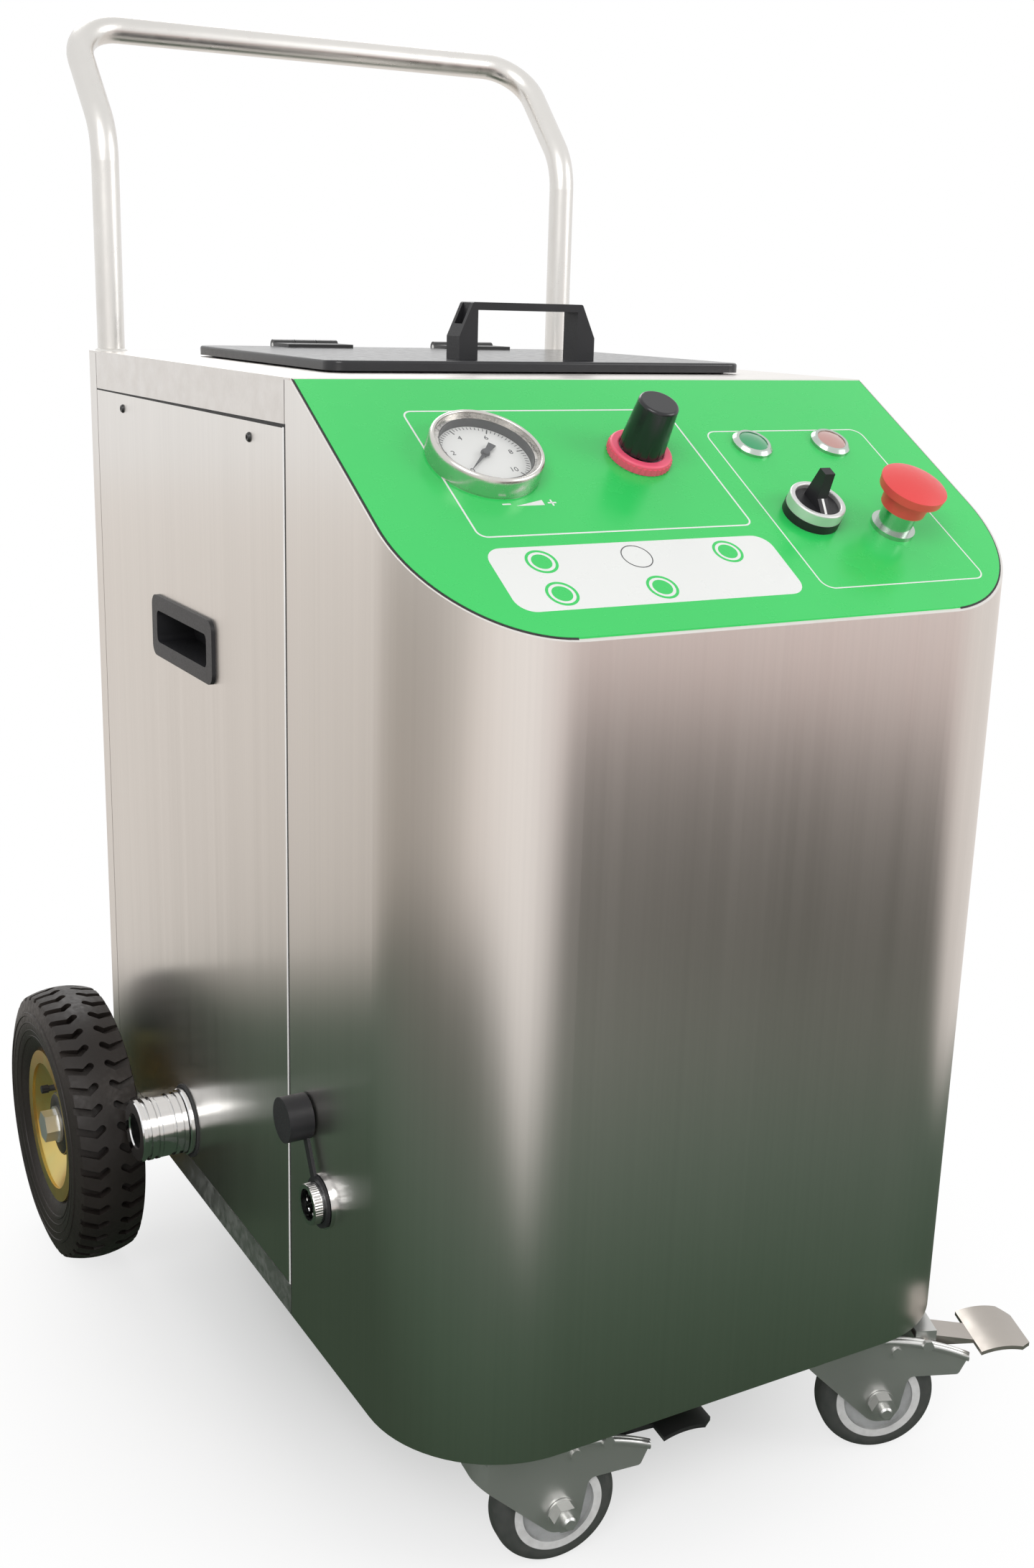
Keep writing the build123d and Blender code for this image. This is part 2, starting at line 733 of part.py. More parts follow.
# Rear wheels: pressed rim with its dished disc and hub, and a tyre with two rows of lugs
lip_r = rim_lip_diameter / 2
seat_r = rim_seat_diameter / 2
barrel_r = seat_r - rim_sheet
hub_r = hub_diameter / 2
bearing_r = bearing_diameter / 2 + fit
rim_half = rim_width / 2
tyre_r = wheel_diameter / 2
tyre_half = tyre_width / 2
bead_x = rim_half - rim_sheet - gap
shoulder_r = tyre_r - crown_rise
bulge_r = (seat_r + shoulder_r) / 2 + crown_rise
tread_half = shoulder_width / 2
for name, side in sides:
    mid = side * wheel_x
    disc_face = side * (rim_half - rim_sheet)
    dish_face = side * (rim_half - rim_dish_depth)
    disc_sheet = side * 2 * rim_sheet
    with BuildPart() as rim:
        with BuildSketch(cross_plane(axle_y, axle_z, mid)):
            with BuildLine():
                Polyline(
                    (-rim_half, lip_r),
                    (rim_sheet - rim_half, lip_r),
                    (rim_sheet - rim_half, seat_r),
                    (rim_half - rim_sheet, seat_r),
                    (rim_half - rim_sheet, lip_r),
                    (rim_half, lip_r),
                    (rim_half, barrel_r),
                    (-rim_half, barrel_r),
                    close=True,
                )
            make_face()
            with BuildLine():
                Polyline(
                    (disc_face, seat_r),
                    (disc_face, barrel_r),
                    (dish_face, hub_r),
                    (dish_face - disc_sheet, hub_r),
                    (disc_face - disc_sheet, barrel_r),
                    (disc_face - disc_sheet, seat_r),
                    close=True,
                )
            make_face()
            with Locations((side * (hub_length - tyre_width) / 2, (hub_r + bearing_r) / 2)):
                Rectangle(hub_length, hub_r - bearing_r)
        revolve(axis=cross_axis(axle_y, axle_z))
    save(rim.part, f"rim_{name}")

    with BuildPart() as lug_slot:
        with BuildSketch(Plane.YZ.offset(tyre_r - lug_slot_depth)):
            with BuildLine():
                Polyline(
                    (0, tread_rib_width / 2 + lug_slot_width / 2),
                    (lug_slot_lead, tread_half / 2),
                    (-lug_slot_lead, tyre_half + crown_rise),
                )
                offset(amount=lug_slot_width / 2, side=Side.BOTH, kind=Kind.INTERSECTION)
            make_face()
            mirror(about=Plane.XZ)
        extrude(amount=lug_slot_depth + crown_rise)

    with BuildPart() as tyre:
        with BuildSketch(cross_plane(axle_y, axle_z, mid)):
            with BuildLine():
                Line((bead_x - bead_width, seat_r + gap), (bead_x, seat_r + gap))
                Line((bead_x, seat_r + gap), (bead_x, lip_r + gap))
                ThreePointArc((bead_x, lip_r + gap), (tyre_half, bulge_r), (tread_half, shoulder_r))
                ThreePointArc((tread_half, shoulder_r), (0, tyre_r), (-tread_half, shoulder_r))
                ThreePointArc((-tread_half, shoulder_r), (-tyre_half, bulge_r), (-bead_x, lip_r + gap))
                Line((-bead_x, lip_r + gap), (-bead_x, seat_r + gap))
                Line((-bead_x, seat_r + gap), (bead_width - bead_x, seat_r + gap))
                Line((bead_width - bead_x, seat_r + gap), (bead_width - bead_x, lip_r))
                ThreePointArc(
                    (bead_width - bead_x, lip_r),
                    (casing_wall - tyre_half, bulge_r),
                    (casing_wall - tread_half, shoulder_r - casing_wall),
                )
                Line(
                    (casing_wall - tread_half, shoulder_r - casing_wall),
                    (tread_half - casing_wall, shoulder_r - casing_wall),
                )
                ThreePointArc(
                    (tread_half - casing_wall, shoulder_r - casing_wall),
                    (tyre_half - casing_wall, bulge_r),
                    (bead_x - bead_width, lip_r),
                )
                Line((bead_x - bead_width, lip_r), (bead_x - bead_width, seat_r + gap))
            make_face()
        revolve(axis=cross_axis(axle_y, axle_z))
        with Locations(Plane((mid, axle_y, axle_z), x_dir=(0, 0, 1), z_dir=(1, 0, 0))):
            with PolarLocations(0, lug_count):
                add(lug_slot.part, mode=Mode.SUBTRACT)
    save(tyre.part, f"tyre_{name}")

# Hopper: straight mouth under the top cap, then a funnel down to the feeder
mouth_z = shell_top
funnel_z = mouth_z - hopper_straight
with BuildPart() as hopper:
    for skin, how in ((sheet, Mode.ADD), (0.0, Mode.SUBTRACT)):
        mouth = (hopper_width + 2 * skin, hopper_depth + 2 * skin, hopper_corner_radius + skin)
        outlet = (hopper_outlet + 2 * skin, hopper_outlet + 2 * skin, hopper_outlet / 6 + skin)
        with BuildSketch(Plane.XY.offset(funnel_z)):
            with Locations((0, hopper_y)):
                RectangleRounded(*mouth)
        extrude(amount=hopper_straight, mode=how)
        with BuildSketch(Plane.XY.offset(funnel_z)):
            with Locations((0, hopper_y)):
                RectangleRounded(*mouth)
        with BuildSketch(Plane.XY.offset(feeder_top)):
            with Locations((0, feeder_y)):
                RectangleRounded(*outlet)
        loft(mode=how)
    with BuildSketch(Plane.XY.offset(mouth_z - sheet)):
        with Locations((0, hopper_y)):
            RectangleRounded(
                hopper_width + 2 * hopper_flange,
                hopper_depth + 2 * hopper_flange,
                hopper_corner_radius + hopper_flange,
            )
            RectangleRounded(hopper_width, hopper_depth, hopper_corner_radius, mode=Mode.SUBTRACT)
    extrude(amount=sheet)
save(hopper.part, "hopper")

# Feeder housing: inlet from the hopper, rotor bore and the air channel below it
feeder_back = feeder_y + feeder_depth / 2
tray_top = floor_z + tray_sheet
with BuildPart() as feeder_housing:
    slab(
        (-feeder_length / 2, feeder_length / 2),
        (feeder_y - feeder_depth / 2, feeder_back),
        (tray_top, feeder_top),
    )
    with BuildSketch(Plane.XZ.offset(-feeder_back)):
        with Locations((0, rotor_z)):
            Circle(rotor_diameter / 2 + fit)
    extrude(amount=(feeder_depth + rotor_length) / 2 + gap, mode=Mode.SUBTRACT)
    with BuildSketch(Plane.XY.offset(rotor_z)):
        with Locations((0, feeder_y)):
            RectangleRounded(hopper_outlet, rotor_length, hopper_outlet / 6)
    extrude(amount=feeder_top - rotor_z, mode=Mode.SUBTRACT)
    with BuildSketch(Plane.YZ):
        with Locations((feeder_y, connector_z)):
            Circle(connector_bore / 2)
    extrude(amount=feeder_length / 2, both=True, mode=Mode.SUBTRACT)
save(feeder_housing.part, "feeder_housing")

# Feeder rotor: two rings of pockets that carry the pellets into the air channel
shaft_end = feeder_back + shaft_engagement
with BuildPart() as feeder_rotor:
    with BuildSketch(Plane.XZ.offset(-feeder_y)):
        with Locations((0, rotor_z)):
            Circle(rotor_diameter / 2)
    extrude(amount=rotor_length / 2, both=True)
    with BuildSketch(Plane.XZ.offset(-shaft_end)):
        with Locations((0, rotor_z)):
            Circle(rotor_shaft_diameter / 2)
    extrude(amount=shaft_end - feeder_y)
    for row in (-rotor_length / 4, rotor_length / 4):
        with Locations(Plane((0, feeder_y + row, rotor_z), x_dir=(1, 0, 0), z_dir=(0, -1, 0))):
            with PolarLocations(rotor_diameter / 2, rotor_pocket_count):
                Sphere(rotor_pocket / 2, mode=Mode.SUBTRACT)
save(feeder_rotor.part, "feeder_rotor")

# Gear motor bolted to the back of the feeder
gearbox_back = feeder_back + gearbox_length
with BuildPart() as gear_motor:
    slab(
        (-gearbox_size / 2, gearbox_size / 2),
        (feeder_back, gearbox_back),
        (rotor_z - gearbox_size / 2, rotor_z + gearbox_size / 2),
    )
    with BuildSketch(Plane.XZ.offset(-gearbox_back)):
        with Locations((0, rotor_z)):
            Circle(motor_diameter / 2)
    extrude(amount=-motor_length)
    with BuildSketch(Plane.XZ.offset(-feeder_back)):
        with Locations((0, rotor_z)):
            Circle(rotor_shaft_diameter / 2 + fit)
    extrude(amount=-shaft_engagement - gap, mode=Mode.SUBTRACT)
save(gear_motor.part, "gear_motor")

# Pipes: pellets and air out to the hose connector, compressed air in from the back
connector_inner = half_width - sheet - connector_shank_length
pipe_radius = connector_bore / 2 + pipe_wall
with BuildPart() as outlet_pipe:
    with BuildSketch(Plane.YZ.offset(-feeder_length / 2)):
        with Locations((connector_y, connector_z)):
            Circle(pipe_radius)
            Circle(connector_bore / 2, mode=Mode.SUBTRACT)
    extrude(amount=feeder_length / 2 - connector_inner)
save(outlet_pipe.part, "outlet_pipe")

air_inside_y = rear_y - sheet - air_inside_length
with BuildPart() as air_pipe:
    with BuildLine() as air_path:
        FilletPolyline(
            (air_inlet_x, air_inside_y, air_z),
            (air_inlet_x, feeder_y, air_z),
            (feeder_length / 2, feeder_y, air_z),
            radius=2 * pipe_radius,
        )
    with BuildSketch(Plane((air_inlet_x, air_inside_y, air_z), x_dir=(1, 0, 0), z_dir=(0, -1, 0))):
        Circle(pipe_radius)
        Circle(connector_bore / 2, mode=Mode.SUBTRACT)
    sweep(path=air_path.line)
save(air_pipe.part, "air_pipe")

# Hose connector on the left side, and its places along -X
collar_x = half_width + seam_gap
groove_x = collar_x + connector_collar_length
thread_x = groove_x + connector_groove_width
relief_x = thread_x + connector_thread_length
nose_x = relief_x + connector_groove_width
connector_end = nose_x + connector_nose_length
thread_r = connector_diameter / 2
groove_r = thread_r - connector_groove_depth
with BuildPart() as hose_connector:
    with BuildSketch(cross_plane(connector_y, connector_z)):
        with BuildLine():
            Polyline(
                (-connector_inner, connector_bore / 2),
                (-connector_inner, connector_shank_diameter / 2),
                (-collar_x, connector_shank_diameter / 2),
                (-collar_x, connector_collar_diameter / 2),
                (-groove_x, connector_collar_diameter / 2),
                (-groove_x, groove_r),
                (-thread_x, groove_r),
                (-thread_x, thread_r),
                (-relief_x, thread_r),
                (-relief_x, groove_r),
                (-nose_x, groove_r),
                (-nose_x, thread_r),
                (-connector_end, thread_r),
                (-connector_end, connector_bore / 2),
                close=True,
            )
        make_face()
    revolve(axis=cross_axis(connector_y, connector_z))
save(hose_connector.part, "hose_connector")

# Control socket for the blasting gun's cable, with contact pins
socket_face = half_width + socket_flange_sheet
socket_end = socket_face + socket_barrel_length
socket_back = half_width - sheet
socket_floor = socket_back - socket_floor_depth
with BuildPart() as control_socket:
    with BuildSketch(cross_plane(socket_y, socket_z)):
        with BuildLine():
            Polyline(
                (socket_shank_length - socket_back, 0),
                (socket_shank_length - socket_back, socket_shank_diameter / 2),
                (socket_nut_height - socket_back, socket_shank_diameter / 2),
                (socket_nut_height - socket_back, socket_nut_diameter / 2),
                (-socket_back, socket_nut_diameter / 2),
                (-socket_back, socket_shank_diameter / 2),
                (-half_width, socket_shank_diameter / 2),
                (-half_width, socket_flange_diameter / 2),
                (-socket_face, socket_flange_diameter / 2),
                (-socket_face, socket_barrel_diameter / 2),
                (-socket_end, socket_barrel_diameter / 2),
                (-socket_end, socket_bore / 2),
                (-socket_floor, socket_bore / 2),
                (-socket_floor, 0),
                close=True,
            )
        make_face()
    revolve(axis=cross_axis(socket_y, socket_z))
    with BuildSketch(Plane.YZ.offset(-socket_floor)):
        with Locations((socket_y, socket_z)):
            with PolarLocations(socket_pin_circle / 2, socket_pin_count):
                Circle(socket_pin_diameter / 2)
    extrude(amount=socket_floor - socket_end + socket_pin_recess)
save(control_socket.part, "control_socket")

# Dust cap: ring round the socket, strap and cup moulded in one
cap_y = socket_y + cap_distance * cos(radians(cap_angle))
cap_z = socket_z + cap_distance * sin(radians(cap_angle))
ring_r = socket_barrel_diameter / 2 + gap
strap_mid = (ring_r + cap_distance) / 2
cup_r = socket_barrel_diameter / 2 + gap
strap_face = socket_face + gap + cap_strap_sheet
with BuildPart() as dust_cap:
    with BuildSketch(Plane.YZ.offset(-strap_face)):
        with Locations((socket_y, socket_z)):
            Circle(ring_r + cap_ring_width)
        with Locations(
            (socket_y + strap_mid * cos(radians(cap_angle)), socket_z + strap_mid * sin(radians(cap_angle)))
        ):
            Rectangle(cap_distance - ring_r, cap_strap_width, rotation=cap_angle)
        with Locations((socket_y, socket_z)):
            Circle(ring_r, mode=Mode.SUBTRACT)
    extrude(amount=cap_strap_sheet)
    with BuildSketch(Plane.YZ.offset(-half_width - cap_stand_off)):
        with Locations((cap_y, cap_z)):
            Circle(cup_r + cap_wall)
    extrude(amount=-cap_length)
    with BuildSketch(Plane.YZ.offset(-half_width - cap_stand_off)):
        with Locations((cap_y, cap_z)):
            Circle(cup_r)
    extrude(amount=cap_wall - cap_length, mode=Mode.SUBTRACT)
save(dust_cap.part, "dust_cap")

# Compressed-air inlet on the back
air_hex_y = rear_y + air_hex_length
with BuildPart() as air_inlet:
    with BuildSketch(Plane.XZ.offset(-air_inside_y)):
        with Locations((air_inlet_x, air_z)):
            Circle(air_thread_diameter / 2)
    extrude(amount=air_inside_y - air_hex_y - air_thread_length)
    with BuildSketch(Plane.XZ.offset(-rear_y)):
        with Locations((air_inlet_x, air_z)):
            RegularPolygon(air_hex_width / 2, 6, major_radius=False)
    extrude(amount=-air_hex_length)
    with BuildSketch(Plane.XZ.offset(-air_inside_y)):
        with Locations((air_inlet_x, air_z)):
            Circle(connector_bore / 2)
    extrude(amount=air_inside_y - air_hex_y - air_thread_length, mode=Mode.SUBTRACT)
save(air_inlet.part, "air_inlet")

# Mains appliance inlet on the back, with its three blades
mains_body = (mains_width - 2 * mains_overhang, mains_body_height - 2 * mains_overhang)
mains_face = rear_y + mains_flange_sheet
mains_floor = mains_face - mains_recess_depth
with BuildPart() as mains_inlet:
    with BuildSketch(Plane.XZ.offset(-rear_y)):
        with Locations((mains_x, mains_height)):
            RectangleRounded(mains_width, mains_body_height, mains_overhang)
    extrude(amount=-mains_flange_sheet)
    with BuildSketch(Plane.XZ.offset(-rear_y)):
        with Locations((mains_x, mains_height)):
            Rectangle(*mains_body)
    extrude(amount=mains_depth)
    with BuildSketch(Plane.XZ.offset(-mains_face)):
        with Locations((mains_x, mains_height)):
            Rectangle(mains_body[0] - 2 * mains_recess_wall, mains_body[1] - mains_recess_wall)
    extrude(amount=mains_recess_depth, mode=Mode.SUBTRACT)
    with BuildSketch(Plane.XZ.offset(-mains_floor)):
        with Locations((mains_x, mains_height)):
            with GridLocations(mains_blade_spacing, 0, 3, 1):
                Rectangle(mains_blade_sheet, mains_blade_width)
    extrude(amount=-mains_blade_length)
save(mains_inlet.part, "mains_inlet")

# Control box with the power supply and the feed-rate drive, standing on the tray
box_y = front_y + control_box_setback
with BuildPart() as control_box:
    slab(
        (-control_box_width / 2, control_box_width / 2),
        (box_y - control_box_depth / 2, box_y + control_box_depth / 2),
        (tray_top, tray_top + control_box_height),
    )
    chamfer(control_box.edges().filter_by(Axis.Z), tray_sheet)
save(control_box.part, "control_box")

# Lid, with the gasket under it
with BuildPart() as lid:
    with BuildSketch(Plane.XY.offset(lid_bottom)):
        with Locations((0, hopper_y)):
            RectangleRounded(lid_width, lid_depth, lid_corner_radius)
    extrude(amount=lid_thickness)
    fillet(lid.faces().sort_by(Axis.Z)[-1].edges(), lid_edge_radius)
save(lid.part, "lid")

with BuildPart() as lid_gasket:
    with BuildSketch(Plane.XY.offset(top_z + gap)):
        with Locations((0, hopper_y)):
            RectangleRounded(
                lid_width - 2 * gasket_inset, lid_depth - 2 * gasket_inset, lid_corner_radius
            )
            RectangleRounded(
                lid_width - 2 * gasket_inset - 2 * gasket_width,
                lid_depth - 2 * gasket_inset - 2 * gasket_width,
                lid_corner_radius,
                mode=Mode.SUBTRACT,
            )
    extrude(amount=gasket_height - gap)
save(lid_gasket.part, "lid_gasket")

# Lid hinges: middle knuckle on the cap, outer knuckles on the lid, and a pin through all three
knuckle_r = knuckle_diameter / 2
knuckle_span = hinge_width / 3
hinge_places = (-hinge_spread / 2, hinge_spread / 2)
with BuildPart() as hinge_bases:
    for place in hinge_places:
        slab(
            (place - hinge_width / 2, place + hinge_width / 2),
            (hinge_y - knuckle_r, hinge_y + hinge_leaf_length),
            (top_z, top_z + hinge_leaf_sheet),
        )
        with BuildSketch(Plane.YZ.offset(place)):
            with Locations((hinge_y, (top_z + hinge_z) / 2)):
                Rectangle(knuckle_diameter, hinge_z - top_z)
            with Locations((hinge_y, hinge_z)):
                Circle(knuckle_r)
                Circle(hinge_pin_diameter / 2 + fit, mode=Mode.SUBTRACT)
        extrude(amount=knuckle_span / 2 - gap, both=True)
save(hinge_bases.part, "hinge_bases")

with BuildPart() as hinge_leaves:
    for place in hinge_places:
        slab(
            (place - hinge_width / 2, place + hinge_width / 2),
            (hinge_y - hinge_leaf_length - hinge_offset, hinge_y),
            (lid_top, lid_top + hinge_leaf_sheet),
        )
        with BuildSketch(Plane.YZ.offset(place)):
            with Locations((hinge_y, hinge_z)):
                Circle(knuckle_r)
        extrude(amount=hinge_width / 2, both=True)
        with BuildSketch(Plane.YZ.offset(place)):
            with Locations((hinge_y, hinge_z)):
                Rectangle(knuckle_diameter + 2 * gap, knuckle_diameter + 2 * gap)
        extrude(amount=knuckle_span / 2 + gap, both=True, mode=Mode.SUBTRACT)
        with BuildSketch(Plane.YZ.offset(place)):
            with Locations((hinge_y, hinge_z)):
                Circle(hinge_pin_diameter / 2 + fit)
        extrude(amount=hinge_width / 2, both=True, mode=Mode.SUBTRACT)
save(hinge_leaves.part, "hinge_leaves")

with BuildPart() as hinge_pins:
    for place in hinge_places:
        with BuildSketch(Plane.YZ.offset(place)):
            with Locations((hinge_y, hinge_z)):
                Circle(hinge_pin_diameter / 2)
        extrude(amount=hinge_width / 2, both=True)
save(hinge_pins.part, "hinge_pins")

# Bridge handle on the lid
handle_y = lid_front + lid_handle_setback
handle_ceiling = lid_top + lid_handle_height - lid_handle_bar
pocket_length = (lid_handle_length - lid_handle_top) / 2 - lid_handle_wall
pocket_x = (lid_handle_top + pocket_length) / 2
with BuildPart() as lid_handle:
    with BuildSketch(Plane.XZ.offset(-handle_y)):
        with BuildLine():
            Polyline(
                (-lid_handle_length / 2, lid_top),
                (-lid_handle_length / 2, lid_top + lid_handle_shoulder),
                (-lid_handle_top / 2, lid_top + lid_handle_height),
                (lid_handle_top / 2, lid_top + lid_handle_height),
                (lid_handle_length / 2, lid_top + lid_handle_shoulder),
                (lid_handle_length / 2, lid_top),
                close=True,
            )
        make_face()
        with Locations((0, (lid_top + handle_ceiling) / 2)):
            Rectangle(lid_handle_opening, handle_ceiling - lid_top, mode=Mode.SUBTRACT)
    extrude(amount=lid_handle_depth / 2, both=True)
    fillet(lid_handle.edges().filter_by(Axis.Y).group_by(Axis.Z)[-1], lid_handle_bar / 3)
    with BuildSketch(Plane.XY.offset(lid_top + lid_handle_floor)):
        with Locations((-pocket_x, handle_y), (pocket_x, handle_y)):
            Rectangle(pocket_length, lid_handle_depth - 2 * lid_handle_wall)
    extrude(amount=lid_handle_height, mode=Mode.SUBTRACT)
save(lid_handle.part, "lid_handle")

# Casters: fixed plates with the swivel race and kingpin
caster_y = front_y + caster_setback
caster_x = caster_spread / 2
plate_bottom = floor_z - caster_plate_sheet
race_bottom = plate_bottom - race_height
head_top = race_bottom - swivel_gap
fork_roof = head_top - head_height
fork_top = fork_roof + fork_sheet
kingpin_head_top = fork_roof - swivel_gap
with BuildPart() as caster_plates:
    for name, side in sides:
        with BuildSketch(Plane((side * caster_x, caster_y, plate_bottom))):
            Rectangle(caster_plate_length, caster_plate_width)
            with GridLocations(caster_slot_spacing_x, caster_slot_spacing_y, 2, 2):
                Circle(caster_bolt_hole / 2, mode=Mode.SUBTRACT)
        extrude(amount=caster_plate_sheet)
        with BuildSketch(Plane((side * caster_x, caster_y, race_bottom))):
            Circle(race_diameter / 2)
        extrude(amount=race_height)
        with BuildSketch(Plane((side * caster_x, caster_y, kingpin_head_top))):
            Circle(kingpin_diameter / 2)
        extrude(amount=race_bottom - kingpin_head_top)
        with BuildSketch(Plane((side * caster_x, caster_y, kingpin_head_top))):
            Circle(kingpin_head_diameter / 2)
        extrude(amount=-kingpin_head_height)
save(caster_plates.part, "caster_plates")

# Casters: swivelling fork, wheel, axle bolt and brake pedal, each turned to its resting direction
caster_r = caster_diameter / 2
head_r = head_diameter / 2
fork_half = fork_gap / 2 + fork_sheet
arm_end_z = fork_top - fork_arm_fall
arm_bottom = arm_end_z - fork_arm_height
arm_root_x = caster_trail + fork_foot_radius
foot_offset = fork_foot_radius / sqrt(2)
foot_start = (caster_trail - foot_offset, caster_r - foot_offset)
nose_foot = (-fork_nose_x, fork_top - fork_nose_height)
rivet_z = fork_top - fork_rivet_drop
pivot_z = fork_top - pedal_pivot_drop
pedal_z = pivot_z - pedal_drop
axle_hex_start = fork_half + gap
nut_start = axle_hex_start + caster_washer_sheet


def fork_plan(inset):
    """Plan of a caster fork with its rounded nose, open past the ends of its arms."""
    half = fork_half - inset
    nose = inset - fork_nose_x
    tail = 2 * fork_arm_reach
    with BuildSketch() as plan:
        with BuildLine():
            FilletPolyline(
                (tail, -half), (nose, -half), (nose, half), (tail, half), radius=fork_nose_radius - inset
            )
            Line((tail, half), (tail, -half))
        make_face()
    return plan.sketch


for name, side in sides:
    yaw = radians(caster_yaw[name])
    trail_dir = Vector(cos(yaw), sin(yaw), 0)
    cross_dir = Vector(-sin(yaw), cos(yaw), 0)
    swivel = Vector(side * caster_x, caster_y, 0)
    hub = swivel + trail_dir * caster_trail + Vector(0, 0, caster_r)
    side_view = Plane(swivel, x_dir=trail_dir, z_dir=-cross_dir)
    top_view = Plane(swivel, x_dir=trail_dir, z_dir=(0, 0, 1))

    with BuildPart() as fork:
        with BuildSketch(side_view):
            with BuildLine():
                Polyline(foot_start, (caster_trail, caster_r), (arm_root_x, caster_r))
                FilletPolyline(
                    (arm_root_x, caster_r),
                    (arm_root_x + fork_root_slant, arm_bottom),
                    (fork_arm_reach - fork_arm_slant, arm_bottom),
                    (fork_arm_reach, arm_end_z),
                    radius=[fork_root_radius, fork_arm_radius],
                )
                TangentArc((fork_shoulder_x, fork_top), (fork_arm_reach, arm_end_z), tangent=(1, 0))
                Polyline((fork_shoulder_x, fork_top), (-fork_nose_x, fork_top), nose_foot)
                Line(nose_foot, foot_start)
            make_face()
            with Locations((caster_trail, caster_r)):
                Circle(fork_foot_radius)
        extrude(amount=fork_half, both=True)
        extrude(top_view * fork_plan(0), amount=fork_top, mode=Mode.INTERSECT)
        outline = fork.edges().group_by(Axis(swivel, cross_dir))[0]
        fillet(outline.filter_by(lambda edge: edge.center().Z > arm_end_z), fork_roll_radius)
        extrude(top_view * fork_plan(fork_sheet), amount=fork_roof, mode=Mode.SUBTRACT)
        with BuildSketch(side_view):
            with Locations(((head_r + 2 * fork_arm_reach) / 2, fork_top)):
                Rectangle(2 * fork_arm_reach - head_r, 2 * fork_arm_height)
        extrude(amount=fork_gap / 2, both=True, mode=Mode.SUBTRACT)
        with BuildSketch(top_view.offset(fork_roof)):
            Circle(head_r)
        extrude(amount=head_height)
        with BuildSketch(top_view.offset(fork_roof)):
            Circle(kingpin_diameter / 2 + fit)
        extrude(amount=head_height, mode=Mode.SUBTRACT)
        with BuildSketch(side_view):
            with Locations((caster_trail, caster_r)):
                Circle(caster_axle_diameter / 2 + fit)
            with Locations((pedal_pivot_x, pivot_z)):
                Circle(pedal_pin_diameter / 2 + fit)
        extrude(amount=2 * fork_half, both=True, mode=Mode.SUBTRACT)
        for end in (-1, 1):
            rivet_seat = swivel + trail_dir * fork_rivet_x + cross_dir * end * fork_half
            rivet_plane = Plane(rivet_seat + Vector(0, 0, rivet_z), x_dir=trail_dir, z_dir=cross_dir * end)
            with BuildSketch(rivet_plane):
                Circle(fork_rivet_diameter / 2)
            extrude(amount=fork_rivet_height)
    save(fork.part, f"caster_fork_{name}")

    wheel_half = caster_width / 2
    face = wheel_half - caster_recess
    hub_half = fork_gap / 2 - caster_side_gap
    ring_r_outer = caster_r - caster_tread
    ring_r_inner = ring_r_outer - caster_ring
    bore_r = caster_axle_diameter / 2 + fit
    boss_r = caster_hub_diameter / 2
    with BuildPart() as caster_wheel:
        with BuildSketch(Plane(hub, x_dir=cross_dir, z_dir=trail_dir)):
            with BuildLine():
                Polyline(
                    (-hub_half, bore_r),
                    (-hub_half, boss_r),
                    (-face, boss_r),
                    (-face, ring_r_inner),
                    (-wheel_half, ring_r_inner),
                    (-wheel_half, caster_r - caster_edge),
                )
                RadiusArc(
                    (-wheel_half, caster_r - caster_edge), (caster_edge - wheel_half, caster_r), caster_edge
                )
                Line((caster_edge - wheel_half, caster_r), (wheel_half - caster_edge, caster_r))
                RadiusArc(
                    (wheel_half - caster_edge, caster_r), (wheel_half, caster_r - caster_edge), caster_edge
                )
                Polyline(
                    (wheel_half, caster_r - caster_edge),
                    (wheel_half, ring_r_inner),
                    (face, ring_r_inner),
                    (face, boss_r),
                    (hub_half, boss_r),
                    (hub_half, bore_r),
                    (-hub_half, bore_r),
                )
            make_face()
        revolve(axis=Axis(hub, cross_dir))
    save(caster_wheel.part, f"caster_wheel_{name}")

    with BuildPart() as caster_axle:
        with BuildSketch(Plane(hub, x_dir=trail_dir, z_dir=cross_dir)):
            Circle(caster_axle_diameter / 2)
        extrude(amount=nut_start, both=True)
        for end in (-1, 1):
            out_dir = cross_dir * end
            with BuildSketch(Plane(hub + out_dir * axle_hex_start, x_dir=trail_dir, z_dir=out_dir)):
                Circle(caster_washer_diameter / 2)
            extrude(amount=caster_washer_sheet)
            with BuildSketch(Plane(hub + out_dir * nut_start, x_dir=trail_dir, z_dir=out_dir)):
                RegularPolygon(caster_nut_width / 2, 6, major_radius=False)
            extrude(amount=caster_nut_height)
        with BuildSketch(Plane(hub - cross_dir * nut_start, x_dir=trail_dir, z_dir=-cross_dir)):
            Circle(caster_axle_diameter / 2)
        extrude(amount=caster_nut_height + caster_bolt_end)
        chamfer(caster_axle.faces().sort_by(Axis(hub, cross_dir))[0].edges(), caster_bolt_end / 4)
    save(caster_axle.part, f"caster_axle_{name}")

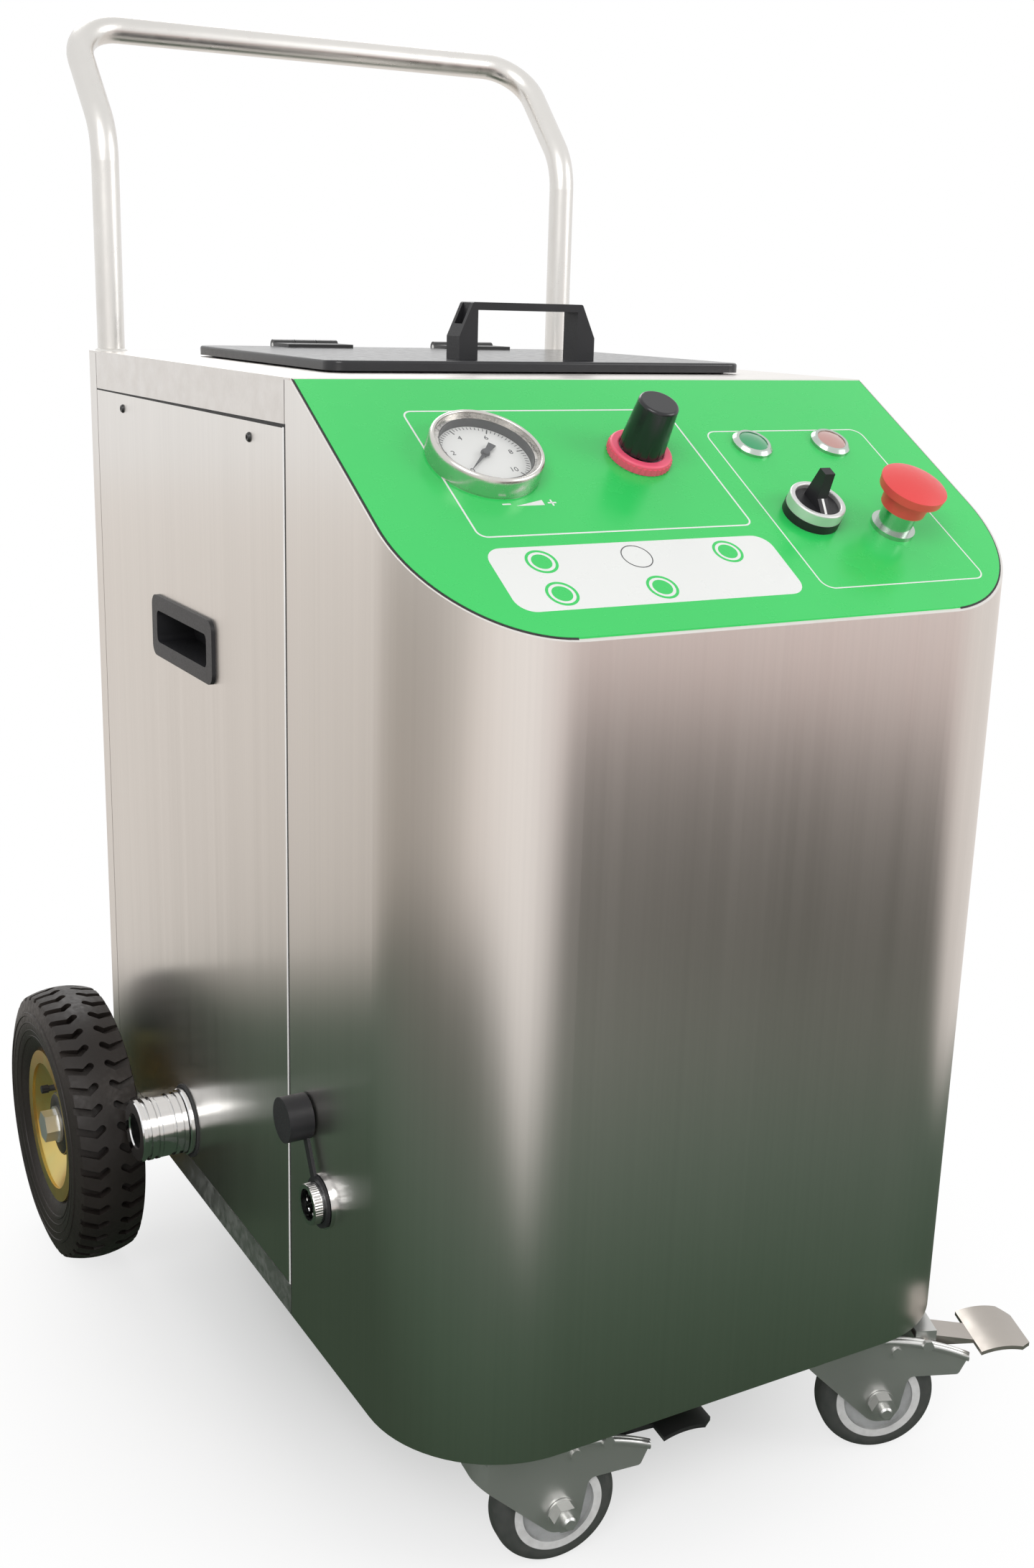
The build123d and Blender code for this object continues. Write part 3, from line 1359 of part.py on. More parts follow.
    with BuildPart() as brake_pedal:
        with BuildSketch(side_view):
            with BuildLine():
                Polyline(
                    (pedal_pivot_x, pivot_z - pedal_boss_radius),
                    (pedal_tongue_start, pedal_z),
                    (pedal_tongue_start, pedal_z + pedal_sheet),
                    (pedal_pivot_x, pivot_z + pedal_boss_radius),
                )
                ThreePointArc(
                    (pedal_pivot_x, pivot_z + pedal_boss_radius),
                    (pedal_pivot_x - pedal_boss_radius, pivot_z),
                    (pedal_pivot_x, pivot_z - pedal_boss_radius),
                )
            make_face()
        extrude(amount=pedal_neck_width / 2, both=True)
        with BuildSketch(side_view):
            with BuildLine():
                tongue_mid = (pedal_tongue_start + pedal_length) / 2
                ThreePointArc(
                    (pedal_tongue_start, pedal_z),
                    (tongue_mid, pedal_z + pedal_crown),
                    (pedal_length, pedal_z),
                )
                Line((pedal_length, pedal_z), (pedal_length, pedal_z + pedal_sheet))
                ThreePointArc(
                    (pedal_length, pedal_z + pedal_sheet),
                    (tongue_mid, pedal_z + pedal_crown + pedal_sheet),
                    (pedal_tongue_start, pedal_z + pedal_sheet),
                )
                Line((pedal_tongue_start, pedal_z + pedal_sheet), (pedal_tongue_start, pedal_z))
            make_face()
        extrude(amount=pedal_tongue_width / 2, both=True)
        tip_edges = brake_pedal.edges().filter_by(Axis.Z).group_by(Axis(swivel, trail_dir))[-1]
        chamfer(tip_edges, pedal_clip)
        with BuildSketch(side_view):
            with Locations((pedal_pivot_x, pivot_z)):
                Circle(pedal_pin_diameter / 2)
        extrude(amount=fork_half, both=True)
    save(brake_pedal.part, f"brake_pedal_{name}")

# Pressure gauge: case with its bezel, dial, pointer and lens
bezel_r = gauge_diameter / 2
case_r = gauge_case_diameter / 2
lens_step = gauge_bezel_height - gauge_lens_sheet - gap
lens_seat = (bezel_r + case_r) / 2
pin_r = pointer_shaft_diameter / 2
with BuildPart() as gauge_case:
    with BuildSketch(control_profile(gauge_at)):
        with BuildLine():
            Polyline(
                (0, -gauge_case_depth),
                (case_r, -gauge_case_depth),
                (case_r, 0),
                (bezel_r, 0),
                (bezel_r, 2 * gauge_bezel_height / 3),
                (lens_seat, gauge_bezel_height),
                (lens_seat - 2 * fit, gauge_bezel_height),
                (lens_seat - 2 * fit, lens_step),
                (case_r, lens_step),
                (case_r, gauge_dial_height),
                (pin_r + fit, gauge_dial_height),
                (pin_r + fit, gauge_dial_height - 2 * gauge_lens_sheet),
                (0, gauge_dial_height - 2 * gauge_lens_sheet),
                close=True,
            )
        make_face()
    revolve(axis=control_axis(gauge_at))
save(gauge_case.part, "gauge_case")

with BuildPart() as gauge_dial:
    with BuildSketch(control_plane(gauge_at, gauge_dial_height)):
        Circle(case_r - fit)
        Circle(pin_r + gap, mode=Mode.SUBTRACT)
    extrude(amount=dial_sheet)
save(gauge_dial.part, "gauge_dial")

with BuildPart() as gauge_lens:
    with BuildSketch(control_plane(gauge_at, lens_step)):
        Circle(lens_seat - 3 * fit)
    extrude(amount=gauge_lens_sheet)
save(gauge_lens.part, "gauge_lens")

pointer_height = gauge_dial_height + dial_sheet + gauge_lens_sheet
pointer_turn = radians(pointer_angle)
pointer_dir = face_plane.x_dir * cos(pointer_turn) + face_plane.y_dir * sin(pointer_turn)
with BuildPart() as gauge_pointer:
    pointer_seat = control_point(gauge_at, pointer_height)
    with BuildSketch(Plane(pointer_seat, x_dir=pointer_dir, z_dir=face_plane.z_dir)):
        with BuildLine():
            Polyline(
                (-pointer_tail, -pointer_width),
                (0, -pointer_width / 2),
                (pointer_length, 0),
                (0, pointer_width / 2),
                (-pointer_tail, pointer_width),
                close=True,
            )
        make_face()
        Circle(pointer_hub)
    extrude(amount=pointer_sheet)
    with BuildSketch(control_plane(gauge_at, pointer_height)):
        Circle(pin_r)
    extrude(amount=gauge_lens_sheet - pointer_height)
save(gauge_pointer.part, "gauge_pointer")

# Pressure regulator: body behind the panel, ring nut, spindle and fluted knob
spindle_r = regulator_spindle_diameter / 2
neck_r = regulator_neck_diameter / 2
neck_top = regulator_ring_height - panel_stack
knob_bottom = regulator_ring_height + swivel_gap
knob_top = knob_bottom + regulator_knob_height
spindle_foot = regulator_body_depth / 3
with BuildPart() as regulator_body:
    with BuildSketch(control_profile(regulator_at)):
        with BuildLine():
            Polyline(
                (0, -regulator_body_depth),
                (regulator_body_diameter / 2, -regulator_body_depth),
                (regulator_body_diameter / 2, -panel_stack),
                (neck_r, -panel_stack),
                (neck_r, neck_top),
                (spindle_r + fit, neck_top),
                (spindle_r + fit, -spindle_foot - gap),
                (0, -spindle_foot - gap),
                close=True,
            )
        make_face()
    revolve(axis=control_axis(regulator_at))
save(regulator_body.part, "regulator_body")

with BuildPart() as regulator_ring:
    with BuildSketch(control_plane(regulator_at)):
        Circle(regulator_ring_diameter / 2)
        Circle(neck_r + fit, mode=Mode.SUBTRACT)
    extrude(amount=regulator_ring_height)
    fillet(regulator_ring.faces().sort_by(control_axis(regulator_at))[-1].edges(), regulator_ring_height / 4)
save(regulator_ring.part, "regulator_ring")

with BuildPart() as regulator_spindle:
    with BuildSketch(control_plane(regulator_at, -spindle_foot)):
        Circle(spindle_r)
    extrude(amount=spindle_foot + knob_top - regulator_knob_skin - gap)
save(regulator_spindle.part, "regulator_spindle")

knob_r = regulator_knob_diameter / 2
with BuildPart() as regulator_knob:
    with BuildSketch(control_profile(regulator_at)):
        with BuildLine():
            Polyline(
                (0, knob_top),
                (knob_r - regulator_knob_taper, knob_top),
                (knob_r, knob_bottom),
                (spindle_r + fit, knob_bottom),
                (spindle_r + fit, knob_top - regulator_knob_skin),
                (0, knob_top - regulator_knob_skin),
                close=True,
            )
        make_face()
    revolve(axis=control_axis(regulator_at))
    fillet(regulator_knob.faces().sort_by(control_axis(regulator_at))[-1].edges(), regulator_knob_taper)
    with BuildSketch(control_plane(regulator_at, knob_bottom)):
        with PolarLocations(knob_r + flute_diameter / 2 - flute_depth, flute_count):
            Circle(flute_diameter / 2)
    extrude(amount=regulator_knob_height - 3 * regulator_knob_taper, mode=Mode.SUBTRACT)
save(regulator_knob.part, "regulator_knob")

# Pilot lamps: two bezels, and a lens in each
lens_r = lamp_lens_diameter / 2
with BuildPart() as lamp_bezels:
    for place in lamp_at:
        with BuildSketch(control_profile(place)):
            with BuildLine():
                Polyline(
                    (0, -lamp_depth),
                    (lamp_shank_diameter / 2, -lamp_depth),
                    (lamp_shank_diameter / 2, 0),
                    (lamp_diameter / 2, 0),
                    (lamp_diameter / 2, lamp_bezel_height / 2),
                    ((lamp_diameter / 2 + lens_r) / 2, lamp_bezel_height),
                    (lens_r + fit, lamp_bezel_height),
                    (lens_r + fit, lamp_floor),
                    (0, lamp_floor),
                    close=True,
                )
            make_face()
        revolve(axis=control_axis(place))
save(lamp_bezels.part, "lamp_bezels")

for name, place in zip(("green_lamp", "red_lamp"), lamp_at):
    with BuildPart() as lamp:
        with BuildSketch(control_profile(place)):
            with BuildLine():
                Polyline((0, lamp_crown), (0, lamp_floor), (lens_r, lamp_floor), (lens_r, lamp_rim))
                ThreePointArc((lens_r, lamp_rim), dome_point(lens_r, lamp_rim, lamp_crown), (0, lamp_crown))
            make_face()
        revolve(axis=control_axis(place))
    save(lamp.part, name)

# Feed-rate dial: base, bright ring and the knob with its pointer lever
dial_r = feed_dial_diameter / 2
feed_r = feed_knob_diameter / 2
feed_shaft_r = feed_shaft_diameter / 2
with BuildPart() as feed_dial_base:
    with BuildSketch(control_profile(feed_dial_at)):
        with BuildLine():
            Polyline(
                (0, -control_depth),
                (feed_dial_shank_diameter / 2, -control_depth),
                (feed_dial_shank_diameter / 2, 0),
                (dial_r, 0),
                (dial_r, feed_dial_base_height),
                (feed_shaft_r + fit, feed_dial_base_height),
                (feed_shaft_r + fit, feed_dial_base_height - feed_shaft_length - gap),
                (0, feed_dial_base_height - feed_shaft_length - gap),
                close=True,
            )
        make_face()
    revolve(axis=control_axis(feed_dial_at))
save(feed_dial_base.part, "feed_dial_base")

with BuildPart() as feed_dial_ring:
    with BuildSketch(control_plane(feed_dial_at, feed_dial_base_height)):
        Circle(dial_r - gap)
        Circle(feed_r + gap, mode=Mode.SUBTRACT)
    extrude(amount=feed_dial_ring_height)
    ring_edges = feed_dial_ring.faces().sort_by(control_axis(feed_dial_at))[-1].edges()
    fillet(ring_edges, (dial_r - feed_r - 2 * gap) / 3)
save(feed_dial_ring.part, "feed_dial_ring")

feed_knob_floor = feed_dial_base_height + gap
feed_knob_face = feed_knob_floor + feed_knob_sheet
with BuildPart() as feed_knob:
    with BuildSketch(control_plane(feed_dial_at, feed_knob_floor)):
        Circle(feed_r)
    extrude(amount=feed_knob_sheet)
    with BuildSketch(control_plane(feed_dial_at, feed_knob_floor)):
        Circle(feed_shaft_r)
    extrude(amount=-feed_shaft_length)
    with BuildSketch(Plane(control_point(feed_dial_at), x_dir=face_plane.y_dir, z_dir=(1, 0, 0))):
        with BuildLine():
            Polyline(
                (-0.8 * feed_r, feed_knob_face),
                (-0.2 * feed_r, feed_knob_face + feed_lever_height / 4),
                (0, feed_knob_face + feed_lever_height),
                (0.45 * feed_r, feed_knob_face + feed_lever_height),
                (0.65 * feed_r, feed_knob_face),
                close=True,
            )
        make_face()
    extrude(amount=feed_lever_width / 2, both=True)
save(feed_knob.part, "feed_knob")

# Emergency stop: collar in the panel, stem that is pushed in, mushroom head that is twisted back
collar_r = estop_collar_diameter / 2
stem_r = estop_stem_diameter / 2
skirt_bottom = estop_collar_height - gap
skirt_ceiling = estop_collar_height + estop_travel + estop_overrun
skirt_top = skirt_ceiling + estop_skirt_roof
head_edge = skirt_top + estop_rim_height
head_crown = head_edge + estop_crown
stem_top = skirt_top + estop_stem_grip
with BuildPart() as estop_collar:
    with BuildSketch(control_profile(estop_at)):
        with BuildLine():
            Polyline(
                (stem_r + fit, -control_depth),
                (collar_r, -control_depth),
                (collar_r, 0),
                (estop_nut_diameter / 2, 0),
                (estop_nut_diameter / 2, estop_nut_sheet),
                (collar_r, estop_nut_sheet),
                (collar_r, estop_collar_height),
                (stem_r + fit, estop_collar_height),
                close=True,
            )
        make_face()
    revolve(axis=control_axis(estop_at))
save(estop_collar.part, "estop_collar")

with BuildPart() as estop_stem:
    with BuildSketch(control_plane(estop_at, estop_travel - control_depth)):
        Circle(stem_r)
    extrude(amount=control_depth - estop_travel + stem_top)
save(estop_stem.part, "estop_stem")

skirt_r = estop_skirt_diameter / 2
mushroom_r = estop_diameter / 2
with BuildPart() as estop_button:
    with BuildSketch(control_profile(estop_at)):
        with BuildLine():
            Polyline(
                (0, head_crown),
                (0, stem_top),
                (stem_r + fit, stem_top),
                (stem_r + fit, skirt_ceiling),
                (collar_r + 2 * gap, skirt_ceiling),
                (collar_r + 2 * gap, skirt_bottom),
                (skirt_r - estop_edge, skirt_bottom),
                (skirt_r, skirt_top - estop_skirt_slope),
                (mushroom_r - estop_edge, skirt_top),
                (mushroom_r, head_edge),
            )
            ThreePointArc(
                (mushroom_r, head_edge), dome_point(mushroom_r, head_edge, head_crown), (0, head_crown)
            )
        make_face()
    revolve(axis=control_axis(estop_at))
save(estop_button.part, "estop_button")
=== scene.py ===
import json
import math

import bmesh
import bpy
from mathutils import Matrix, Vector


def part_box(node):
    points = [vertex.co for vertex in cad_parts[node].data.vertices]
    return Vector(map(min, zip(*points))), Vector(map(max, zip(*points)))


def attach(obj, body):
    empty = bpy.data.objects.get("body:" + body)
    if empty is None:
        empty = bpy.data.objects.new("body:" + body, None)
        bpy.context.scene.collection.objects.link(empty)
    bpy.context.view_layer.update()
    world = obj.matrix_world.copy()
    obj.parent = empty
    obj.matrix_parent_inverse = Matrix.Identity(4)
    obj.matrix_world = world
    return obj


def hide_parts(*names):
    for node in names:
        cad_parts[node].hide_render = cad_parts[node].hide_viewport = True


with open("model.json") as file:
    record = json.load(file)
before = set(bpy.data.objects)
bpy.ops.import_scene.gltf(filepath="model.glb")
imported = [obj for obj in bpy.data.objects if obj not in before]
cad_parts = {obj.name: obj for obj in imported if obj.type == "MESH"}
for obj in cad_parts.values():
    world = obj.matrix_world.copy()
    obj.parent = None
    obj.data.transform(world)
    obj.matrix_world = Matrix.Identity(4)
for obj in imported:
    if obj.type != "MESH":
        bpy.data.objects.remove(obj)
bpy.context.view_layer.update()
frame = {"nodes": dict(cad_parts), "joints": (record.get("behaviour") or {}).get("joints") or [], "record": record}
nodes = frame["nodes"]
joints = {joint["name"]: joint for joint in frame["joints"]}
mounts = {mount["name"]: mount for mount in frame["record"]["mounts"]}

MM = 0.001
SIDES = (("left", -1), ("right", 1))


def in_mm(corners):
    """Low and high corner of a box, in millimetres."""
    return [corner / MM for corner in corners]


def joint_at(name):
    """Place of a joint, in millimetres."""
    return Vector(joints[name]["pos_m"]) / MM


# Places that the pieces are measured from, in millimetres
shell_low, shell_high = in_mm(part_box("front_shell"))
_, cap_high = in_mm(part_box("top_cap"))
FRONT, SEAM, REAR = shell_low.y, shell_high.y, cap_high.y
HALF_WIDTH, TOP = shell_high.x, cap_high.z
TUBE_R = 11.0
LEG_INSET = 13.0

# Photograph's camera: its lens in pixels, where it stands from the machine's front, and where it looks
IMAGE_HEIGHT = 2184
FOCAL_PIXELS = 2428.8
SENSOR = 36.0
CAMERA_AT = Vector((-657.1, FRONT - 823.8, 837.2)) * MM
CAMERA_YAW = math.radians(29.906)
CAMERA_PITCH = math.radians(15.625)
CAMERA_ROLL = math.radians(-1.662)


def place_camera():
    """Camera at the photograph's viewing angle."""
    ahead = Vector((
        math.sin(CAMERA_YAW) * math.cos(CAMERA_PITCH),
        math.cos(CAMERA_YAW) * math.cos(CAMERA_PITCH),
        -math.sin(CAMERA_PITCH),
    ))
    level = Vector((math.cos(CAMERA_YAW), -math.sin(CAMERA_YAW), 0))
    down = ahead.cross(level)
    right = math.cos(CAMERA_ROLL) * level + math.sin(CAMERA_ROLL) * down
    up = math.sin(CAMERA_ROLL) * level - math.cos(CAMERA_ROLL) * down
    camera = bpy.data.objects.new("camera", bpy.data.cameras.new("camera"))
    camera.data.sensor_width = SENSOR
    camera.data.lens = SENSOR * FOCAL_PIXELS / IMAGE_HEIGHT
    camera.matrix_world = Matrix.Translation(CAMERA_AT) @ Matrix((right, up, -ahead)).transposed().to_4x4()
    bpy.context.scene.collection.objects.link(camera)
    bpy.context.scene.camera = camera


# Materials

# Colour inputs and output of a Mix node
MIX_FIRST, MIX_SECOND, MIX_RESULT = 6, 7, 2
# Shifts that keep the noises of one finish apart
STREAK_SHIFT, CLOUD_SHIFT = (0.9, 3.2, 2.5), (4.1, 1.7, 0.6)
PATCH_SHIFT, STAIN_SHIFT = (0.7, 2.3, 5.1), (3.3, 0.4, 1.9)
# Relief: strength, and depth in metres
BRUSH_RELIEF, TREAD_RELIEF = (0.012, 0.00004), (0.3, 0.00008)
GRAIN_STRENGTH = 0.4
# Broad streaks for each fine line, and the width of a patch in grains
STREAK_SHARE, PATCH_GRAINS = 0.2, 25
CLOUD_GRAIN = (2.2, 2.2, 1.4)
# Caster wheel: where its core turns into the ring and the ring into the tread, in metres from the axle
CORE_EDGE, RING_EDGE = (0.0263, 0.0267), (0.0323, 0.0327)
CORE_GREY, RING_GREY, TREAD_BLACK = (0.42, 0.43, 0.43), (0.62, 0.62, 0.61), (0.045, 0.05, 0.046)
TREAD_DUST = (0.12, 0.11, 0.1)


class Finish:
    """A material with a Principled shader, and short ways to drive its sockets from noise."""

    def __init__(self, name, colour, metallic=0.0, roughness=0.5, **sockets):
        self.material = bpy.data.materials.new(name)
        self.material.use_nodes = True
        self.tree = self.material.node_tree
        self.shader = self.tree.nodes["Principled BSDF"]
        self.colour = colour
        self.set("Base Color", (*colour, 1))
        self.set("Metallic", metallic)
        self.set("Roughness", roughness)
        for socket, value in sockets.items():
            self.set(socket.replace("_", " "), value)

    def set(self, socket, value):
        self.shader.inputs[socket].default_value = value

    def node(self, kind, **settings):
        made = self.tree.nodes.new("ShaderNode" + kind)
        for name, value in settings.items():
            setattr(made, name, value)
        return made

    def link(self, output, target):
        self.tree.links.new(output, target)

    def coordinates(self, scale=(1, 1, 1), shift=(0, 0, 0)):
        """Place on the object, stretched by scale."""
        place = self.node("TexCoord")
        mapping = self.node("Mapping")
        mapping.inputs["Location"].default_value = shift
        mapping.inputs["Scale"].default_value = scale
        self.link(place.outputs["Object"], mapping.inputs["Vector"])
        return mapping.outputs["Vector"]

    def noise(self, scale, detail=3.0, rough=0.55, shift=(0, 0, 0)):
        """Noise whose grain per metre is given along X, Y and Z."""
        texture = self.node("TexNoise")
        texture.inputs["Scale"].default_value = 1.0
        texture.inputs["Detail"].default_value = detail
        texture.inputs["Roughness"].default_value = rough
        self.link(self.coordinates(scale, shift), texture.inputs["Vector"])
        return texture.outputs["Fac"]

    def spread(self, value, low, high, begin=0.3, end=0.7):
        """A value stretched from begin..end to low..high."""
        span = self.node("MapRange")
        for name, number in (("From Min", begin), ("From Max", end), ("To Min", low), ("To Max", high)):
            span.inputs[name].default_value = number
        self.link(value, span.inputs["Value"])
        return span.outputs["Result"]

    def mix(self, factor, first, second):
        """Colour between two colours or colour outputs."""
        blend = self.node("Mix", data_type="RGBA")
        self.link(factor, blend.inputs["Factor"])
        for socket, colour in ((MIX_FIRST, first), (MIX_SECOND, second)):
            if isinstance(colour, bpy.types.NodeSocket):
                self.link(colour, blend.inputs[socket])
            else:
                blend.inputs[socket].default_value = (*colour, 1)
        return blend.outputs[MIX_RESULT]

    def shades(self, dark, light):
        """The finish's colour made darker and lighter."""
        return tuple(c * dark for c in self.colour), tuple(min(c * light, 1.0) for c in self.colour)

    def paint(self, output):
        self.link(output, self.shader.inputs["Base Color"])

    def rough(self, output):
        self.link(output, self.shader.inputs["Roughness"])

    def bump(self, height, strength, distance):
        """Relief from a height output, in metres."""
        relief = self.node("Bump")
        relief.inputs["Strength"].default_value = strength
        relief.inputs["Distance"].default_value = distance
        self.link(height, relief.inputs["Height"])
        self.link(relief.outputs["Normal"], self.shader.inputs["Normal"])


def brushed_steel(name, colour, grain, roughness=(0.3, 0.42), stretch=0.0):
    """Brushed stainless sheet: fine lines and broad streaks along the grain, under soft clouds."""
    made = Finish(name, colour, metallic=1.0, Anisotropic=stretch)
    lines = made.noise(grain, detail=2.0, rough=0.5)
    streaks = made.noise([STREAK_SHARE * scale for scale in grain], detail=2.0, rough=0.5, shift=STREAK_SHIFT)
    clouds = made.noise(CLOUD_GRAIN, detail=3.0, rough=0.6, shift=CLOUD_SHIFT)
    streaked = made.mix(made.spread(lines, 0, 1), *made.shades(0.98, 1.02))
    clouded, _ = made.shades(0.86, 1)
    made.paint(made.mix(made.spread(clouds, 0.0, 0.3), streaked, clouded))
    made.rough(made.spread(streaks, *roughness))
    made.bump(lines, *BRUSH_RELIEF)
    if stretch:
        around = made.node("Tangent", direction_type="RADIAL", axis="Z")
        made.link(around.outputs["Tangent"], made.shader.inputs["Tangent"])
    return made.material


def plain(name, colour, metallic, roughness, grain, shade=(0.85, 1.15), relief=0.0, **sockets):
    """Moulded, painted or plated surface with a fine mottled grain."""
    made = Finish(name, colour, metallic=metallic, **sockets)
    mottle = made.noise((grain,) * 3, detail=4.0)
    patches = made.noise((grain / PATCH_GRAINS,) * 3, detail=2.0, shift=PATCH_SHIFT)
    made.paint(made.mix(made.spread(patches, 0, 1), *made.shades(*shade)))
    made.rough(made.spread(mottle, *roughness))
    if relief:
        made.bump(mottle, GRAIN_STRENGTH, relief)
    return made.material


def passivated(name, yellow, olive, rust):
    """Yellow-passivated plating: rainbow patches of olive and orange over gold."""
    made = Finish(name, yellow, metallic=0.9)
    patches = made.noise((14, 14, 14), detail=3.0)
    stains = made.noise((26, 26, 26), detail=4.0, shift=STAIN_SHIFT)
    mottle = made.noise((200, 200, 200), detail=4.0)
    tinted = made.mix(made.spread(patches, 0, 0.8, begin=0.38, end=0.62), yellow, olive)
    made.paint(made.mix(made.spread(stains, 0, 0.7, begin=0.45, end=0.7), tinted, rust))
    made.rough(made.spread(mottle, 0.28, 0.34))
    return made.material


def caster_tread(name, hub, spin):
    """Caster wheel coloured by the distance from its axle: grey core, pale ring, dark tread."""
    made = Finish(name, (0.1, 0.1, 0.1))
    offset = made.node("VectorMath", operation="SUBTRACT")
    offset.inputs[1].default_value = hub
    made.link(made.coordinates(), offset.inputs[0])
    across = made.node("VectorMath", operation="CROSS_PRODUCT")
    across.inputs[1].default_value = spin
    made.link(offset.outputs["Vector"], across.inputs[0])
    radius = made.node("VectorMath", operation="LENGTH")
    made.link(across.outputs["Vector"], radius.inputs[0])
    wear = made.noise((160, 160, 160), detail=4.0)
    inner = made.mix(made.spread(radius.outputs["Value"], 0, 1, *CORE_EDGE), CORE_GREY, RING_GREY)
    outer = made.mix(made.spread(radius.outputs["Value"], 0, 1, *RING_EDGE), inner, TREAD_BLACK)
    made.paint(made.mix(made.spread(wear, 0, 0.2), outer, TREAD_DUST))
    made.rough(made.spread(wear, 0.45, 0.65))
    made.bump(wear, *TREAD_RELIEF)
    return made.material


# Finishes: name, colour, metallic (for brushed sheet the grain along X, Y and Z), and range of roughness
steel = brushed_steel("brushed_stainless", (0.82, 0.79, 0.755), (380, 380, 0.9), (0.275, 0.3), stretch=0.8)
# Darker copy of the stainless for the top sheet: painted shade that holds back the lamps' light on top; its grain
# runs along X
steel_top_painted_shade = brushed_steel("brushed_stainless_top_painted_shade", (0.74, 0.71, 0.68), (0.9, 380, 380))
polished = plain("satin_tube", (0.74, 0.72, 0.69), 1.0, (0.26, 0.36), grain=60, shade=(0.92, 1.05))
zinc = plain("zinc_plate", (0.66, 0.66, 0.64), 0.85, (0.31, 0.34), grain=240, shade=(0.86, 1.08))
# Near-white, hardly metallic finish of the covers' rolled edges: painted highlight
edge_painted_highlight = plain("edge_painted_highlight", (0.92, 0.91, 0.89), 0.2, (0.3, 0.4), grain=240, shade=(0.9, 1.05))
# Brownish tone of the right brake pedal: painted reflection; its mottle is random tone
mottled_zinc_painted_reflection = plain("mottled_zinc_painted_reflection", (0.5, 0.46, 0.42), 0.85, (0.28, 0.42), grain=70, shade=(0.75, 1.12))
inner_steel = plain("mill_steel", (0.55, 0.55, 0.54), 1.0, (0.35, 0.5), grain=150)
chrome = plain("chrome", (0.78, 0.78, 0.78), 1.0, (0.08, 0.16), grain=90, shade=(0.95, 1.05))
# Greenish, darker chrome of the lamp bezels and the stop button's collar: painted reflection of the green panel
chrome_painted_green_reflection = plain("chrome_painted_green_reflection", (0.5, 0.56, 0.51), 1.0, (0.16, 0.26), grain=90, shade=(0.9, 1.05))
satin = plain("satin_steel", (0.62, 0.6, 0.57), 1.0, (0.2, 0.3), grain=200, shade=(0.92, 1.06))
silver_paint = plain("silver_paint", (0.72, 0.72, 0.71), 0.6, (0.35, 0.45), grain=200, shade=(0.94, 1.04))
aluminium = plain("cast_aluminium", (0.6, 0.6, 0.6), 1.0, (0.4, 0.55), grain=300, relief=0.0001)
panel_green = plain("panel_green", (0.03, 0.62, 0.12), 0.0, (0.22, 0.3), grain=60, shade=(0.95, 1.05))
panel_white = plain("panel_white", (0.84, 0.85, 0.83), 0.0, (0.25, 0.35), grain=60, shade=(0.96, 1.03))
black_plastic = plain(
    "black_plastic", (0.016, 0.016, 0.018), 0.0, (0.38, 0.52), grain=900, relief=0.00006,
    Specular_IOR_Level=0.35,
)
black_gloss = plain("black_gloss", (0.012, 0.012, 0.014), 0.0, (0.16, 0.26), grain=140)
black_paint = plain("black_paint", (0.02, 0.02, 0.02), 0.0, (0.3, 0.45), grain=500, relief=0.00004)
seal_rubber = plain("seal_rubber", (0.02, 0.02, 0.02), 0.0, (0.6, 0.75), grain=400, relief=0.00006)
tyre_rubber = plain(
    "tyre_rubber", (0.02, 0.016, 0.014), 0.0, (0.38, 0.58), grain=260, shade=(0.7, 1.35), relief=0.0002,
    Specular_IOR_Level=0.3,
)
red_plastic = plain("red_plastic", (0.8, 0.07, 0.07), 0.0, (0.32, 0.42), grain=220, shade=(0.92, 1.06))
pink_plastic = plain("pink_plastic", (0.92, 0.11, 0.2), 0.0, (0.35, 0.45), grain=220, shade=(0.92, 1.06))
green_lens = plain("green_lens", (0.03, 0.36, 0.14), 0.0, (0.1, 0.2), grain=120, Coat_Weight=0.6)
red_lens = plain("red_lens", (0.58, 0.32, 0.29), 0.0, (0.1, 0.2), grain=120, Coat_Weight=0.6)
dial_white = plain("dial_white", (0.84, 0.84, 0.82), 0.0, (0.5, 0.6), grain=80, shade=(0.97, 1.02))
dial_ink = plain("dial_ink", (0.05, 0.05, 0.055), 0.0, (0.5, 0.6), grain=80)
lens_glass = plain("lens_glass", (0.9, 0.93, 0.93), 0.0, (0.03, 0.06), grain=20, Alpha=0.06)
rim_gold = passivated("rim_gold", (0.74, 0.54, 0.17), (0.56, 0.5, 0.2), (0.66, 0.34, 0.08))
motor_grey = plain("motor_grey", (0.16, 0.17, 0.18), 0.0, (0.4, 0.55), grain=300, relief=0.0001)

